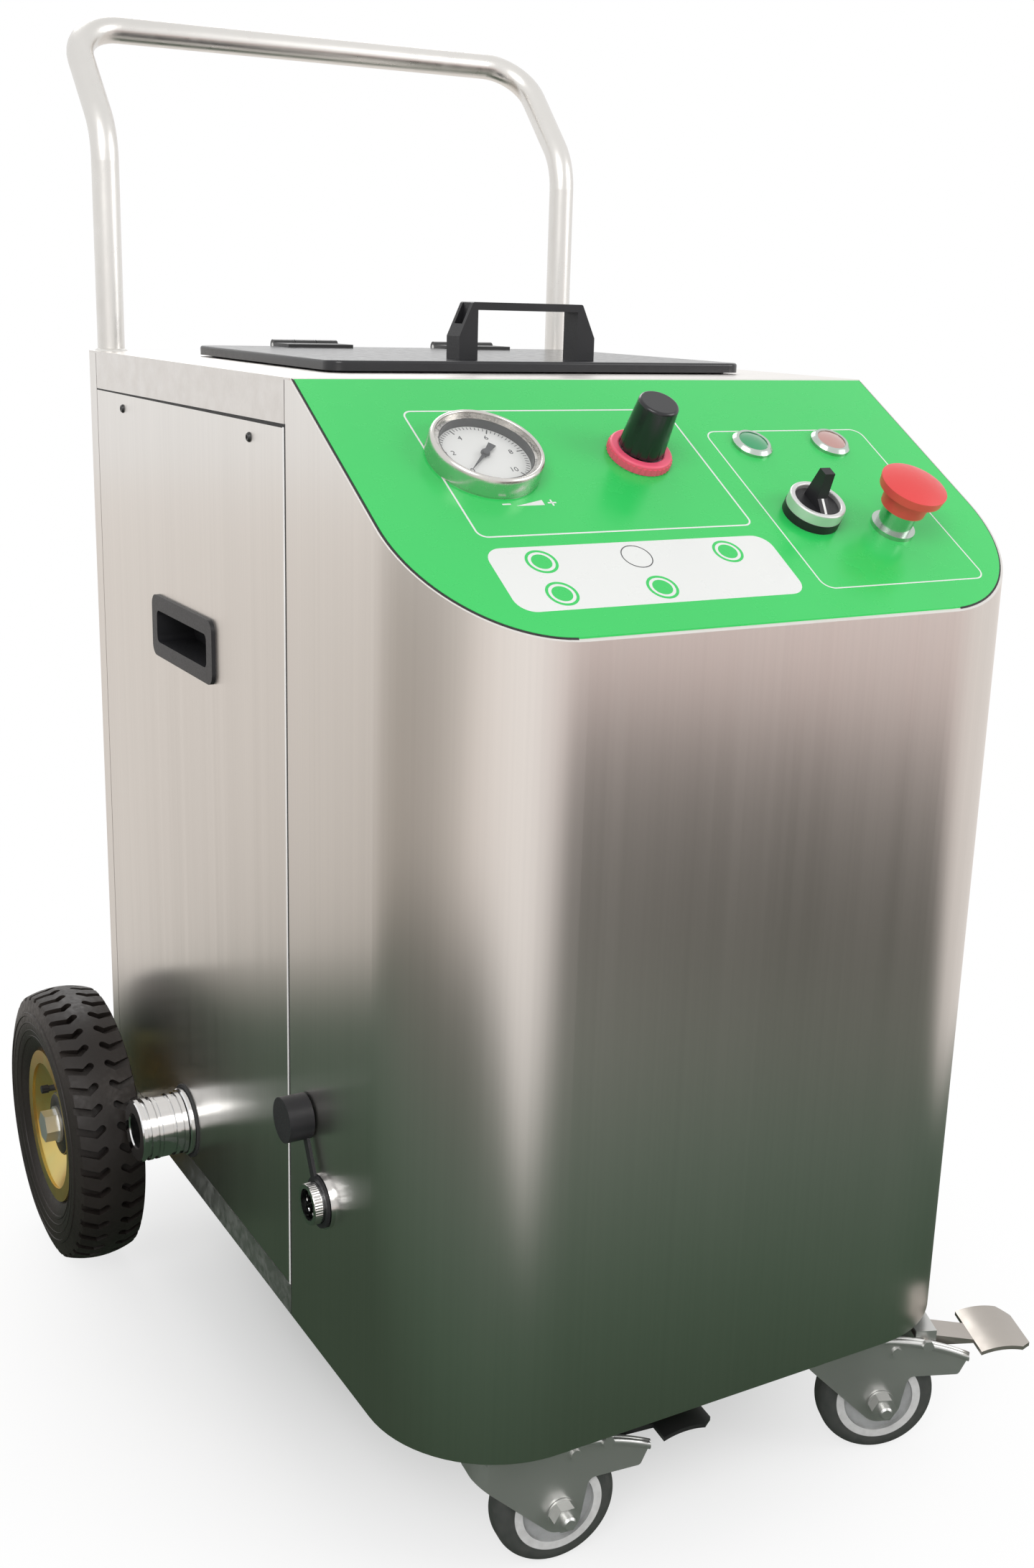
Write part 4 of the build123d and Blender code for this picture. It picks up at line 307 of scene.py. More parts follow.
node_finish = {
    "base_tray": inner_steel,
    "front_shell": steel,
    "panel_overlay": panel_green,
    "top_cap": steel_top_painted_shade,
    "rear_panel": steel,
    "side_panel_left": steel,
    "side_panel_right": steel,
    "flush_pulls": black_plastic,
    "push_handle": polished,
    "axle": zinc,
    "axle_nuts": zinc,
    "wheel_bearings": black_paint,
    "rim_left": rim_gold,
    "rim_right": rim_gold,
    "tyre_left": tyre_rubber,
    "tyre_right": tyre_rubber,
    "hopper": inner_steel,
    "feeder_housing": aluminium,
    "feeder_rotor": aluminium,
    "gear_motor": motor_grey,
    "outlet_pipe": inner_steel,
    "air_pipe": inner_steel,
    "hose_connector": chrome,
    "control_socket": chrome,
    "dust_cap": black_plastic,
    "air_inlet": polished,
    "mains_inlet": black_plastic,
    "control_box": black_plastic,
    "lid": black_gloss,
    "lid_gasket": seal_rubber,
    "hinge_bases": black_paint,
    "hinge_leaves": black_paint,
    "hinge_pins": zinc,
    "lid_handle": black_plastic,
    "caster_plates": zinc,
    "gauge_case": satin,
    "gauge_dial": dial_white,
    "gauge_lens": lens_glass,
    "gauge_pointer": dial_ink,
    "regulator_body": aluminium,
    "regulator_ring": pink_plastic,
    "regulator_spindle": zinc,
    "regulator_knob": black_gloss,
    "lamp_bezels": chrome_painted_green_reflection,
    "green_lamp": green_lens,
    "red_lamp": red_lens,
    "feed_dial_base": black_plastic,
    "feed_dial_ring": silver_paint,
    "feed_knob": black_plastic,
    "estop_collar": chrome_painted_green_reflection,
    "estop_stem": black_plastic,
    "estop_button": red_plastic,
    # Black paint on the left brake pedal: painted shade where it lies under the body; it is the same pedal as on
    # the right
    "brake_pedal_left": black_paint,
    "brake_pedal_right": mottled_zinc_painted_reflection,
}
for side, _ in SIDES:
    roll = joints[f"caster_roll_{side}"]
    node_finish[f"caster_fork_{side}"] = zinc
    node_finish[f"caster_axle_{side}"] = zinc
    node_finish[f"caster_wheel_{side}"] = caster_tread(f"caster_wheel_{side}", roll["pos_m"], roll["axis"])
for name, finish in node_finish.items():
    nodes[name].data.materials.clear()
    nodes[name].data.materials.append(finish)


# Outlines and shapes of the pieces, in millimetres

MERGE_METRES = 1e-7


def circle(radius, at=(0, 0), steps=48, depth=0.0):
    """Round outline; with a depth every second point lies that much deeper, as in a knurl."""
    reach = [radius - depth * (step % 2) for step in range(steps)]
    turns = [2 * math.pi * step / steps for step in range(steps)]
    return [(at[0] + r * math.cos(turn), at[1] + r * math.sin(turn)) for r, turn in zip(reach, turns)]


def hexagon(width, at=(0, 0)):
    return circle(width / math.sqrt(3), at, steps=6)


def rounded(across, up, radius, steps=8):
    """Rectangle between two x and two y values with rounded corners."""
    (left, right), (low, high) = across, up
    corners = ((right, high, -1, -1), (left, high, 1, -1), (left, low, 1, 1), (right, low, -1, 1))
    outline = []
    for quarter, (x, y, inward_x, inward_y) in enumerate(corners):
        for step in range(steps + 1):
            turn = math.pi / 2 * (quarter + step / steps)
            outline.append((
                x + radius * (inward_x + math.cos(turn)),
                y + radius * (inward_y + math.sin(turn)),
            ))
    return outline


class Shape:
    """Faces gathered in a local frame (x across, y up, z out) and made into one piece."""

    def __init__(self, origin, across, out):
        across, out = Vector(across).normalized(), Vector(out).normalized()
        turn = Matrix((across, out.cross(across), out)).transposed().to_4x4()
        self.place = Matrix.Translation(Vector(origin) * MM) @ turn @ Matrix.Scale(MM, 4)
        self.mesh = bmesh.new()

    def skin(self, rings, closed=False):
        """Faces between one ring of points and the next."""
        made = [[self.mesh.verts.new(self.place @ Vector(point)) for point in ring] for ring in rings]
        for low, high in zip(made, made[1:] + made[:1] if closed else made[1:]):
            for step in range(len(low)):
                self.mesh.faces.new((low[step - 1], low[step], high[step], high[step - 1]))
        return made

    def bar(self, rings):
        """Faces between the rings, with the first and the last ring filled."""
        first, *_, last = self.skin(rings)
        self.mesh.faces.new(first[::-1])
        self.mesh.faces.new(last)

    def prism(self, outline, low, high):
        """Outline filled between two heights."""
        self.bar([[(x, y, z) for x, y in outline] for z in (low, high)])

    def band(self, outer, inner, low, high):
        """Space between two outlines with as many points each, between two heights."""
        ends = ((outer, low), (outer, high), (inner, high), (inner, low))
        self.skin([[(x, y, z) for x, y in outline] for outline, z in ends], closed=True)

    def lathe(self, profile, at=(0, 0), steps=64, closed=True):
        """Profile of (radius, height) points turned round an upright axis."""
        rings = [[(*point, height) for point in circle(radius, at, steps)] for radius, height in profile]
        return self.skin(rings, closed)

    def number(self, value, size, at, low, high):
        """Plain number lying on the local frame."""
        font = bpy.data.curves.new("number", "FONT")
        font.body = str(value)
        font.size = size
        font.align_x, font.align_y = "CENTER", "CENTER"
        font.resolution_u = 4
        font.extrude = (high - low) / 2
        holder = bpy.data.objects.new("number", font)
        outline = bpy.data.meshes.new_from_object(holder)
        outline.transform(self.place @ Matrix.Translation((*at, (low + high) / 2)))
        self.mesh.from_mesh(outline)
        bpy.data.objects.remove(holder)
        bpy.data.curves.remove(font)
        bpy.data.meshes.remove(outline)

    def piece(self, name, body, slot, finish, smooth=40):
        """The gathered faces as a piece that rides on a body."""
        bmesh.ops.remove_doubles(self.mesh, verts=self.mesh.verts, dist=MERGE_METRES)
        bmesh.ops.recalc_face_normals(self.mesh, faces=self.mesh.faces)
        mesh = bpy.data.meshes.new(name)
        self.mesh.to_mesh(mesh)
        self.mesh.free()
        mesh.materials.append(finish)
        mesh.polygons.foreach_set("use_smooth", [True] * len(mesh.polygons))
        mesh.set_sharp_from_angle(angle=math.radians(smooth))
        made = bpy.data.objects.new(name, mesh)
        bpy.context.scene.collection.objects.link(made)
        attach(made, body)
        return made


def side_shape(sign, along, up, out=HALF_WIDTH):
    """Shape on a side of the machine, looking out of it."""
    return Shape((sign * out, along, up), (0, sign, 0), (sign, 0, 0))


def thread(radius, low, high, count, depth):
    """Outer profile of thread ridges along a rod."""
    pitch, root = (high - low) / count, radius - depth
    ridge = [(root, 0.0), (root, 0.2), (radius, 0.45), (radius, 0.75)]
    turns = [(r, low + pitch * (turn + share)) for turn in range(count) for r, share in ridge]
    return turns + [(root, high)]


# Control panel: white print, rings, gauge scale and knob details, on a frame whose top edge is y = 0

GAUGE_DOWN = 91.5
CORNER_R, PANEL_RUN = 92.0, 220.0
panel_out = -Vector(joints["gauge_needle"]["axis"])
panel_up = panel_out.cross(Vector((1, 0, 0)))
gauge_at = joint_at("gauge_needle")
panel_top = gauge_at + GAUGE_DOWN * panel_up
panel_top.x = 0.0


def panel_place(joint):
    """Place of a joint on the panel: across from the middle, and up from the top edge (below zero)."""
    offset = joint_at(joint) - panel_top
    return offset.x, offset.dot(panel_up)


def panel_shape():
    """Shape on the panel, from the middle of its top edge."""
    return Shape(panel_top, (1, 0, 0), panel_out)


def gauge_shape():
    """Shape on the gauge, from the joint of its needle."""
    return Shape(gauge_at, (1, 0, 0), panel_out)


PRINT = 0.12
# Frames by reach across, reach up, corner radius and line width, and the white field by the first three
PRINT_FRAMES = (((-168, 33), (-164, -37), 7, 1.2), ((50, 186), (-229, -63), 9, 1.0))
PRINT_FIELD = ((-171, 35), (-231, -174), 12)
# Wedge under the gauge, and the bars of the minus and the plus beside it
WEDGE_SHIFT = (14, -42)
WEDGE_HALF, WEDGE_LOW, WEDGE_HIGH = 10, -2, 3
SIGN_OFF, BAR_LONG, BAR_THIN, BAR_CORNER = 16, 3, 0.6, 0.2


def panel_print():
    """White frames and field, and a wedge between a minus and a plus."""
    printed = panel_shape()
    for (left, right), (low, high), radius, line in PRINT_FRAMES:
        inner = rounded((left + line, right - line), (low + line, high - line), radius - line)
        printed.band(rounded((left, right), (low, high), radius), inner, 0, PRINT)
    printed.prism(rounded(*PRINT_FIELD), 0, PRINT)
    x, y = (at + shift for at, shift in zip(panel_place("gauge_needle"), WEDGE_SHIFT))
    left, right = x - WEDGE_HALF, x + WEDGE_HALF
    printed.prism([(left, y + WEDGE_LOW), (right, y + WEDGE_LOW), (right, y + WEDGE_HIGH)], 0, PRINT)
    level, upright = (BAR_LONG, BAR_THIN), (BAR_THIN, BAR_LONG)
    for middle, half_width, half_height in (
        (x - SIGN_OFF, *level), (x + SIGN_OFF, *level), (x + SIGN_OFF, *upright),
    ):
        across, up = (middle - half_width, middle + half_width), (y - half_height, y + half_height)
        printed.prism(rounded(across, up, BAR_CORNER, 1), 0, PRINT)
    printed.piece("panel_print", "cabinet", "dial_white", panel_white)


# Painted shadow line beside the overlay: its edges' distance inside the outline, its foot and its edges' heights
OVERLAY_NEAR, OVERLAY_FAR = 2.4, 1.3
OVERLAY_FOOT, OVERLAY_NEAR_TOP, OVERLAY_FAR_TOP = -1.0, -0.3, -0.55
OVERLAY_TURN, OVERLAY_STEPS = 86, 24


def overlay_side(sign, inset):
    """Side of the panel's outline, on a line that far inside it: from the top edge down round the corner."""
    half, radius = HALF_WIDTH - inset, CORNER_R - inset
    plan = [(sign * half, FRONT + PANEL_RUN - inset)]
    for step in range(OVERLAY_STEPS + 1):
        turn = math.radians(OVERLAY_TURN * step / OVERLAY_STEPS)
        across = half - radius + radius * math.cos(turn)
        plan.append((sign * across, FRONT + CORNER_R - radius * math.sin(turn)))
    return [(x, (y - panel_top.y) / panel_up.y) for x, y in plan]


def overlay_edges():
    """Dark line of painted shadow beside the overlay, along its two sides."""
    lines = panel_shape()
    for _, sign in SIDES:
        lines.bar([
            [(*near, OVERLAY_FOOT), (*near, OVERLAY_NEAR_TOP), (*far, OVERLAY_FAR_TOP), (*far, OVERLAY_FOOT)]
            for near, far in zip(overlay_side(sign, OVERLAY_NEAR), overlay_side(sign, OVERLAY_FAR))
        ])
    lines.piece("overlay_edges", "cabinet", "seal_rubber", seal_rubber)


# Rings on the white field: their places, outer and inner radii, and the disc in a green one
GREEN_RINGS = ((-137, -188), (-137, -217), (-67, -217), (-2, -188))
GREY_RING = (-70, -188)
RING_R, GREEN_INNER_R, GREY_INNER_R, DISC_R = 10.5, 8.7, 9.9, 6.6


def sign_discs():
    """Plain rings and discs on the white field."""
    green, grey = panel_shape(), panel_shape()
    for at in GREEN_RINGS:
        green.band(circle(RING_R, at), circle(GREEN_INNER_R, at), PRINT, 2 * PRINT)
        green.prism(circle(DISC_R, at), PRINT, 2 * PRINT)
    grey.band(circle(RING_R, GREY_RING), circle(GREY_INNER_R, GREY_RING), PRINT, 2 * PRINT)
    green.piece("sign_discs", "cabinet", "panel_green", panel_green)
    grey.piece("sign_ring", "cabinet", "black_paint", dial_ink)


# Gauge scale: heights of its print, start and sweep in degrees, marks by begin and half width, and numbers
SCALE_LOW, SCALE_HIGH = 5.0, 5.1
SCALE_START, SCALE_SWEEP, SCALE_STEPS, SCALE_LONG = 225, 270, 50, 10
LONG_MARK, SHORT_MARK, MARK_END = (25, 0.4), (27, 0.22), 29.5
NUMBER_STEPS, NUMBER_SIZE, NUMBER_R = 5, 6.0, 20.5
# Profiles of (radius, height) on the gauge
POINTER_CAP = ((0, 7.6), (2.6, 7.6), (2.6, 8.6), (2.0, 9.2), (0, 9.2))
BEZEL = (
    (34.1, 12.7), (34.1, 13.4), (34.6, 14.0), (35.4, 14.2), (36.3, 13.8), (37.0, 12.8),
    (37.4, 11.4), (37.5, 10.0), (37.5, 1.2), (36.9, 0.6), (36.9, 8.6),
)
# Dark ring on the bezel's inner wall: painted shade
BEZEL_SHADE = ((30.2, 5.05), (30.95, 5.05), (30.95, 10.9), (30.5, 10.9))


def gauge_scale():
    """Marks and numbers of the gauge, and the cap on its pointer."""
    scale = gauge_shape()
    for step in range(SCALE_STEPS + 1):
        turn = math.radians(SCALE_START - SCALE_SWEEP / SCALE_STEPS * step)
        ahead = Vector((math.cos(turn), math.sin(turn)))
        numbered = step % SCALE_LONG == 0
        begin, half = LONG_MARK if numbered else SHORT_MARK
        near, far, aside = ahead * begin, ahead * MARK_END, Vector((-ahead.y, ahead.x)) * half
        scale.prism([near - aside, far - aside, far + aside, near + aside], SCALE_LOW, SCALE_HIGH)
        if numbered:
            scale.number(step // NUMBER_STEPS, NUMBER_SIZE, ahead * NUMBER_R, SCALE_LOW, SCALE_HIGH)
    scale.piece("gauge_scale", "cabinet", "black_paint", dial_ink)
    cap = gauge_shape()
    cap.lathe(POINTER_CAP, closed=False)
    cap.piece("pointer_cap", "gauge_pointer", "black_paint", dial_ink)


def gauge_rim():
    """Rolled bezel over the gauge's case, and a dark ring inside it that is painted shade on the bezel's inner
    wall.
    """
    bezel, bezel_shade = gauge_shape(), gauge_shape()
    bezel.lathe(BEZEL, steps=120)
    bezel.piece("gauge_bezel", "cabinet", "chrome", satin)
    bezel_shade.lathe(BEZEL_SHADE, steps=96)
    bezel_shade.piece("gauge_bezel_painted_shade", "cabinet", "black_paint", black_paint)


# Ribs of the regulator's lock ring
LOCK_OUTER, LOCK_INNER, LOCK_DEPTH, LOCK_STEPS = 22.3, 21.4, 0.8, 72
LOCK_LOW, LOCK_HIGH = 0.6, 4.8
# Feed knob's mark: half width, thickness, foot and tip by distance from the axis and height, and lower end
FEED_HALF, FEED_THICK = 0.9, 0.15
FEED_FOOT, FEED_TIP = (12.3, 10.85), (3.2, 16.5)
FEED_END, FEED_END_R, FEED_END_LOW, FEED_END_HIGH = (15.0, 12.6), 0.3, 10.8, 10.95


def knob_details():
    """Ribs round the regulator's lock ring, and the feed knob's pointer mark."""
    ring = panel_shape()
    at = panel_place("regulator_turn")
    outer = circle(LOCK_OUTER, at, LOCK_STEPS, LOCK_DEPTH)
    ring.band(outer, circle(LOCK_INNER, at, LOCK_STEPS), LOCK_LOW, LOCK_HIGH)
    ring.piece("regulator_ring_ribs", "cabinet", "pink_plastic", pink_plastic, smooth=20)
    feed_x, feed_y = panel_place("feed_rate_turn")
    mark = Shape(panel_top + feed_x * Vector((1, 0, 0)), (1, 0, 0), panel_out)
    foot, tip = (Vector((feed_y - out, height)) for out, height in (FEED_FOOT, FEED_TIP))
    slope = tip - foot
    rise = Vector((-slope.y, slope.x)).normalized() * FEED_THICK
    across = (-FEED_HALF, FEED_HALF)
    mark.bar([[(x, *point) for point in (foot, tip, tip + rise, foot + rise)] for x in across])
    end = rounded(across, [feed_y - out for out in FEED_END], FEED_END_R, 2)
    mark.prism(end, FEED_END_LOW, FEED_END_HIGH)
    mark.piece("feed_knob_mark", "feed_knob", "dial_white", panel_white)


# Sides and top: hose thread, sockets, screws, weld beads and the covers' edges

# Hose connector: profile before and after its ridges, and the ridges by low, high and radius
HOSE_START = ((14, -36.5), (22, -36.5), (22, -22), (26.5, -22), (27.5, -21), (27.5, -18), (26.5, -17))
HOSE_END = (
    (23.2, 15), (23.2, 17.4), (25, 17.4), (25.5, 18), (25.5, 21), (24.5, 22), (15, 22), (14, 21),
)
HOSE_RIDGES = (
    (-16.2, -13.0, 25.5), (-9.6, -6.6, 25.5), (-3.4, 4.6, 25.0), (5.6, 8.0, 25.5), (11.2, 14.4, 25.5),
)
HOSE_ROOT_R, HOSE_FLANK = 23.8, 0.6
HOSE_WASHER = ((27.6, -22.95), (30.6, -22.95), (30.6, -22.0), (30.0, -21.4), (27.6, -21.4))


def hose_thread():
    """Hose connector with the ridges of its coupling, and the rubber washer round its collar."""
    at = Vector(mounts["hose_outlet"]["pos_m"]) / MM
    body, washer = (Shape(at, (0, -1, 0), (-1, 0, 0)) for _ in range(2))
    ridges = []
    for low, high, radius in HOSE_RIDGES:
        ridges += [(HOSE_ROOT_R, low - HOSE_FLANK), (radius, low)]
        ridges += [(radius, high), (HOSE_ROOT_R, high + HOSE_FLANK)]
    body.lathe([*HOSE_START, *ridges, *HOSE_END], steps=96)
    connector = body.piece("hose_thread", "cabinet", "chrome", chrome, smooth=30)
    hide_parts("hose_connector")
    washer.lathe(HOSE_WASHER, steps=96)
    washer.piece("hose_washer", "cabinet", "seal_rubber", seal_rubber)


AIR_R, AIR_DEPTH, AIR_BORE_R, AIR_HALF, AIR_TURNS = 16.85, 1.0, 16.0, 11, 10


def air_thread():
    """Ridges of the air inlet's thread."""
    at = Vector(mounts["air_inlet"]["pos_m"]) / MM
    sleeve = Shape(at, (-1, 0, 0), (0, 1, 0))
    ridges = thread(AIR_R, -AIR_HALF, AIR_HALF, AIR_TURNS, AIR_DEPTH)
    sleeve.lathe([(AIR_BORE_R, -AIR_HALF), *ridges, (AIR_BORE_R, AIR_HALF)])
    sleeve.piece("air_thread", "cabinet", "stainless_tube", polished, smooth=30)


KNURL_OUTER, KNURL_INNER, KNURL_DEPTH, KNURL_STEPS = 14.25, 13.9, 0.3, 96
KNURL_LOW, KNURL_HIGH = 7.2, 12.4


def socket_knurl():
    """Knurled nut of the control socket."""
    knurl = Shape(joint_at("dust_cap_swing"), (0, -1, 0), (-1, 0, 0))
    outer = circle(KNURL_OUTER, steps=KNURL_STEPS, depth=KNURL_DEPTH)
    knurl.band(outer, circle(KNURL_INNER, steps=KNURL_STEPS), KNURL_LOW, KNURL_HIGH)
    knurl.piece("socket_knurl", "cabinet", "chrome", chrome, smooth=20)


# Screw's profile down to the floor of its socket, in shares of its radius and height
SCREW_PROFILE = ((0, 0), (1, 0), (1, 0.35), (0.7, 1), (0.4, 1), (0.36, 0.3))
SCREW_STEPS = 24


def screw(shape, at, radius, height):
    """Button-head screw with a round socket, standing out of a face."""
    profile = [(r * radius, z * height) for r, z in SCREW_PROFILE]
    *_, floor = shape.lathe(profile, at, SCREW_STEPS, closed=False)
    shape.mesh.faces.new(floor)


# Screws: places behind the front and up, distance from the rear panel's edges, radii and heights
COVER_SCREWS, COVER_SCREW_UP, COVER_SCREW_SIZE = (289, 566), 742, (3.4, 1.9)
REAR_INSET, REAR_SCREW_SIZE = 14, (3.6, 2.0)


def cover_screws():
    """Row of small screws that hold the side covers, under the top sheet's edge."""
    for side, sign in SIDES:
        row = side_shape(sign, FRONT, 0)
        for along in COVER_SCREWS:
            screw(row, (sign * along, COVER_SCREW_UP), *COVER_SCREW_SIZE)
        row.piece(f"cover_screws_{side}", "cabinet", "black_paint", black_paint)


def rear_screws():
    """Screws along the rear panel's upper and lower edges."""
    low, high = in_mm(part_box("rear_panel"))
    row = Shape((0, high.y, 0), (-1, 0, 0), (0, 1, 0))
    for x in (low.x + REAR_INSET, 0, high.x - REAR_INSET):
        for z in (low.z + REAR_INSET, high.z - REAR_INSET):
            screw(row, (-x, z), *REAR_SCREW_SIZE)
    row.piece("rear_screws", "cabinet", "zinc_steel", zinc)


# Bead's profile: distance past the tube's face, and height
BEAD = ((-0.5, 0), (2.6, 0), (1.6, 1.2), (-0.5, 2.4))


def leg_beads():
    """Weld beads where the push handle's legs go through the top sheet."""
    low, high = in_mm(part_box("push_handle"))
    beads = Shape((0, REAR - LEG_INSET, TOP), (1, 0, 0), (0, 0, 1))
    for x in (low.x + TUBE_R, high.x - TUBE_R):
        beads.lathe([(TUBE_R + past, height) for past, height in BEAD], (x, 0))
    beads.piece("leg_beads", "cabinet", "stainless_tube", polished, smooth=60)


# Side covers' trim: its depth in the face; how far each form stands out, and where it lies behind the seam
TRIM_DEEP = 0.5
ROLL_OUT, ROLL_ALONG, ROLL_R = 0.4, (1.1, 3.3), 0.4
GAP_OUT, GAP_ALONG, GAP_R, GAP_OVER = 0.12, (-0.8, 1.0), 0.05, 2.1
# Painted shadow in the gap over the cover: its begin, and its reach under and over the cover's edge at its two
# ends
UPPER_OUT, UPPER_BEGIN, UPPER_ENDS = 0.1, 0.8, ((0.6, 2.0), (0.1, 1.1))


def seam_edges():
    """Rolled front edge of the side covers in a pale finish of painted highlight, and dark strips of painted
    shadow in the gap in front of it and the gap over the cover.
    """
    low, high = in_mm(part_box("side_panel_left"))
    edges, gap_shadows = (Shape((0, SEAM, 0), (1, 0, 0), (0, 0, 1)) for _ in range(2))
    for _, sign in SIDES:
        reaches = (-TRIM_DEEP, ROLL_OUT, GAP_OUT, UPPER_OUT)
        inner, roll, gap, upper = (sign * (HALF_WIDTH + out) for out in reaches)
        edges.prism(rounded(sorted((inner, roll)), ROLL_ALONG, ROLL_R, 4), low.z, high.z)
        # Dark strip in the gap beside the rolled edge: painted shadow
        gap_shadows.prism(rounded(sorted((inner, gap)), GAP_ALONG, GAP_R, 2), low.z, high.z + GAP_OVER)
        rings = []
        for along, (under, over) in zip((UPPER_BEGIN, high.y - SEAM), UPPER_ENDS):
            corners = ((inner, -under), (upper, -under), (upper, over), (inner, over))
            rings.append([(x, along, high.z + up) for x, up in corners])
        gap_shadows.bar(rings)
    edges.piece("seam_edges", "cabinet", "stainless", edge_painted_highlight, smooth=50)
    gap_shadows.piece("seam_gap_painted_shadow", "cabinet", "seal_rubber", seal_rubber)


# Running gear: tyre ribs, dark rings round the hubs, valves, caster bolts and brake clips

# Arc of the tyre's sidewall: how far out its centre lies, its radius, and its distance from the axle
WALL_OUT, WALL_ARC, WALL_R = -14.8, 45.4, 95
# Ribs by inner and outer radius and height, their flanks' width and how deep these start
TYRE_RIBS = ((79.0, 81.0, 0.7), (99.0, 101.5, 0.8), (85.5, 86.3, 0.4), (92.5, 93.3, 0.4))
RIB_FLANK, RIB_DEEP = 0.7, 0.4
# Profiles of (radius, height) on the wheel; the valve's distance from the axle and its direction in degrees
HUB_DARK_RING = ((17, 15.75), (26, 15.75), (27.8, 14.5), (27.8, 5), (27.05, 5), (27.05, 14), (17, 15))
VALVE = ((0, 12), (4.6, 12), (4.0, 17), (2.6, 19), (2.6, 27), (0, 27))
VALVE_AT, VALVE_TURN, VALVE_STEPS = 46, 70, 24
VALVE_CAP_R, VALVE_CAP_DEPTH, VALVE_CAP_LOW, VALVE_CAP_HIGH = 3.5, 0.4, 27, 33


def tyre_face(radius):
    """How far out the tyre's sidewall stands at a radius, from the wheel's middle."""
    return WALL_OUT + math.sqrt(WALL_ARC ** 2 - (radius - WALL_R) ** 2)


def wheel_details(side, sign):
    """Ribs on a tyre's sidewall, a dark ring round the hub, and the valve with its cap."""
    low, high = in_mm(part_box(f"tyre_{side}"))
    _, along, up = joint_at(f"wheel_spin_{side}")
    body = f"wheel_{side}"
    ribs, cover, valve, cap = (side_shape(sign, along, up, abs(low.x + high.x) / 2) for _ in range(4))

    for inner, outer, height in TYRE_RIBS:
        edges = (
            (inner - RIB_FLANK, -RIB_DEEP), (inner, height), (outer, height), (outer + RIB_FLANK, -RIB_DEEP),
        )
        ribs.lathe([(radius, tyre_face(radius) + over) for radius, over in edges], steps=120)
    ribs.piece(f"tyre_ribs_{side}", body, "tyre_rubber", tyre_rubber)

    # Dark ring round the hub, in black plastic
    cover.lathe(HUB_DARK_RING)
    cover.piece(f"hub_dark_ring_{side}", body, "black_plastic", black_plastic)

    turn = math.radians(VALVE_TURN)
    at = (VALVE_AT * math.cos(turn), VALVE_AT * math.sin(turn))
    valve.lathe(VALVE, at, VALVE_STEPS, closed=False)
    valve.piece(f"valve_{side}", body, "seal_rubber", seal_rubber)
    cap.prism(circle(VALVE_CAP_R, at, VALVE_STEPS, VALVE_CAP_DEPTH), VALVE_CAP_LOW, VALVE_CAP_HIGH)
    cap.piece(f"valve_cap_{side}", body, "black_plastic", black_plastic)


# Plate bolts: half their spacing across and along, width over the flats, washer's radius, and heights
BOLT_X, BOLT_Y, BOLT_WIDTH, WASHER_R = 32, 23, 13, 9.5
BOLT_LOW, BOLT_HIGH, WASHER_LOW, WASHER_HIGH = 105.7, 110.9, 109.6, 110.95
# Brake clip: half its inner width, thickness, heights, and reach along the fork
CLIP_HALF, CLIP_THICK, CLIP_LOW, CLIP_HIGH, CLIP_ALONG = 12.4, 1.5, 88.0, 102.0, (50, 66)
# Brake bolt: place along and up the fork, width over the flats, and how far out its heads begin and end
BRAKE_ALONG, BRAKE_UP, BRAKE_WIDTH, BRAKE_OUT = 58, 92.6, 8, (17.1, 20.6)
# Upper edge of the fork's arms: an arc that starts level, and the outline of the roll along it
ARM_TOP, ARM_ARC, ARM_FACE = 100.6, 182.4, 17.0
ARM_START, ARM_END, ARM_STEPS = 14.0, 91.5, 20
ARM_LIP = ((-1.2, 1.0), (0.6, 1.0), (1.7, 1.9), (2.2, 3.4), (1.9, 5.2), (0.9, 6.6), (-0.4, 7.2), (-1.2, 7.2))


def caster_details(side):
    """Bolts of a caster's plate, its brake's clip and bolt, and the rolled edges of its fork."""
    swivel = joint_at(f"caster_swivel_{side}")
    trail = joint_at(f"caster_roll_{side}") - swivel
    trail.z = 0
    trail.normalize()
    aside = Vector((0, 0, 1)).cross(trail)

    bolts = Shape(swivel, (1, 0, 0), (0, 0, 1))
    for x in (-BOLT_X, BOLT_X):
        for y in (-BOLT_Y, BOLT_Y):
            bolts.prism(hexagon(BOLT_WIDTH, (x, y)), BOLT_LOW, BOLT_HIGH)
            bolts.prism(circle(WASHER_R, (x, y), 32), WASHER_LOW, WASHER_HIGH)
    bolts.piece(f"plate_bolts_{side}", "cabinet", "zinc_steel", zinc)

    clip = Shape(swivel, aside, trail)
    outer, under = CLIP_HALF + CLIP_THICK, CLIP_HIGH - CLIP_THICK
    clip.prism([
        (-outer, CLIP_LOW), (-CLIP_HALF, CLIP_LOW), (-CLIP_HALF, under), (CLIP_HALF, under),
        (CLIP_HALF, CLIP_LOW), (outer, CLIP_LOW), (outer, CLIP_HIGH), (-outer, CLIP_HIGH),
    ], *CLIP_ALONG)
    clip.piece(f"brake_clip_{side}", f"caster_{side}", "zinc_steel", zinc)
    bolt = Shape(swivel + BRAKE_ALONG * trail, trail, -aside)
    lips = Shape(swivel, trail, (0, 0, 1))
    for _, sign in SIDES:
        bolt.prism(hexagon(BRAKE_WIDTH, (0, BRAKE_UP)), *sorted(sign * out for out in BRAKE_OUT))
        rings = []
        for step in range(ARM_STEPS + 1):
            along = ARM_START + (ARM_END - ARM_START) * step / ARM_STEPS
            edge = ARM_TOP - ARM_ARC + math.sqrt(ARM_ARC ** 2 - (along - ARM_START) ** 2)
            rings.append([(along, sign * (ARM_FACE + bulge), edge - drop) for bulge, drop in ARM_LIP])
        lips.bar(rings)
    bolt.piece(f"brake_bolt_{side}", f"caster_{side}", "zinc_steel", zinc)
    lips.piece(f"fork_lips_{side}", f"caster_{side}", "zinc_steel", zinc, smooth=60)


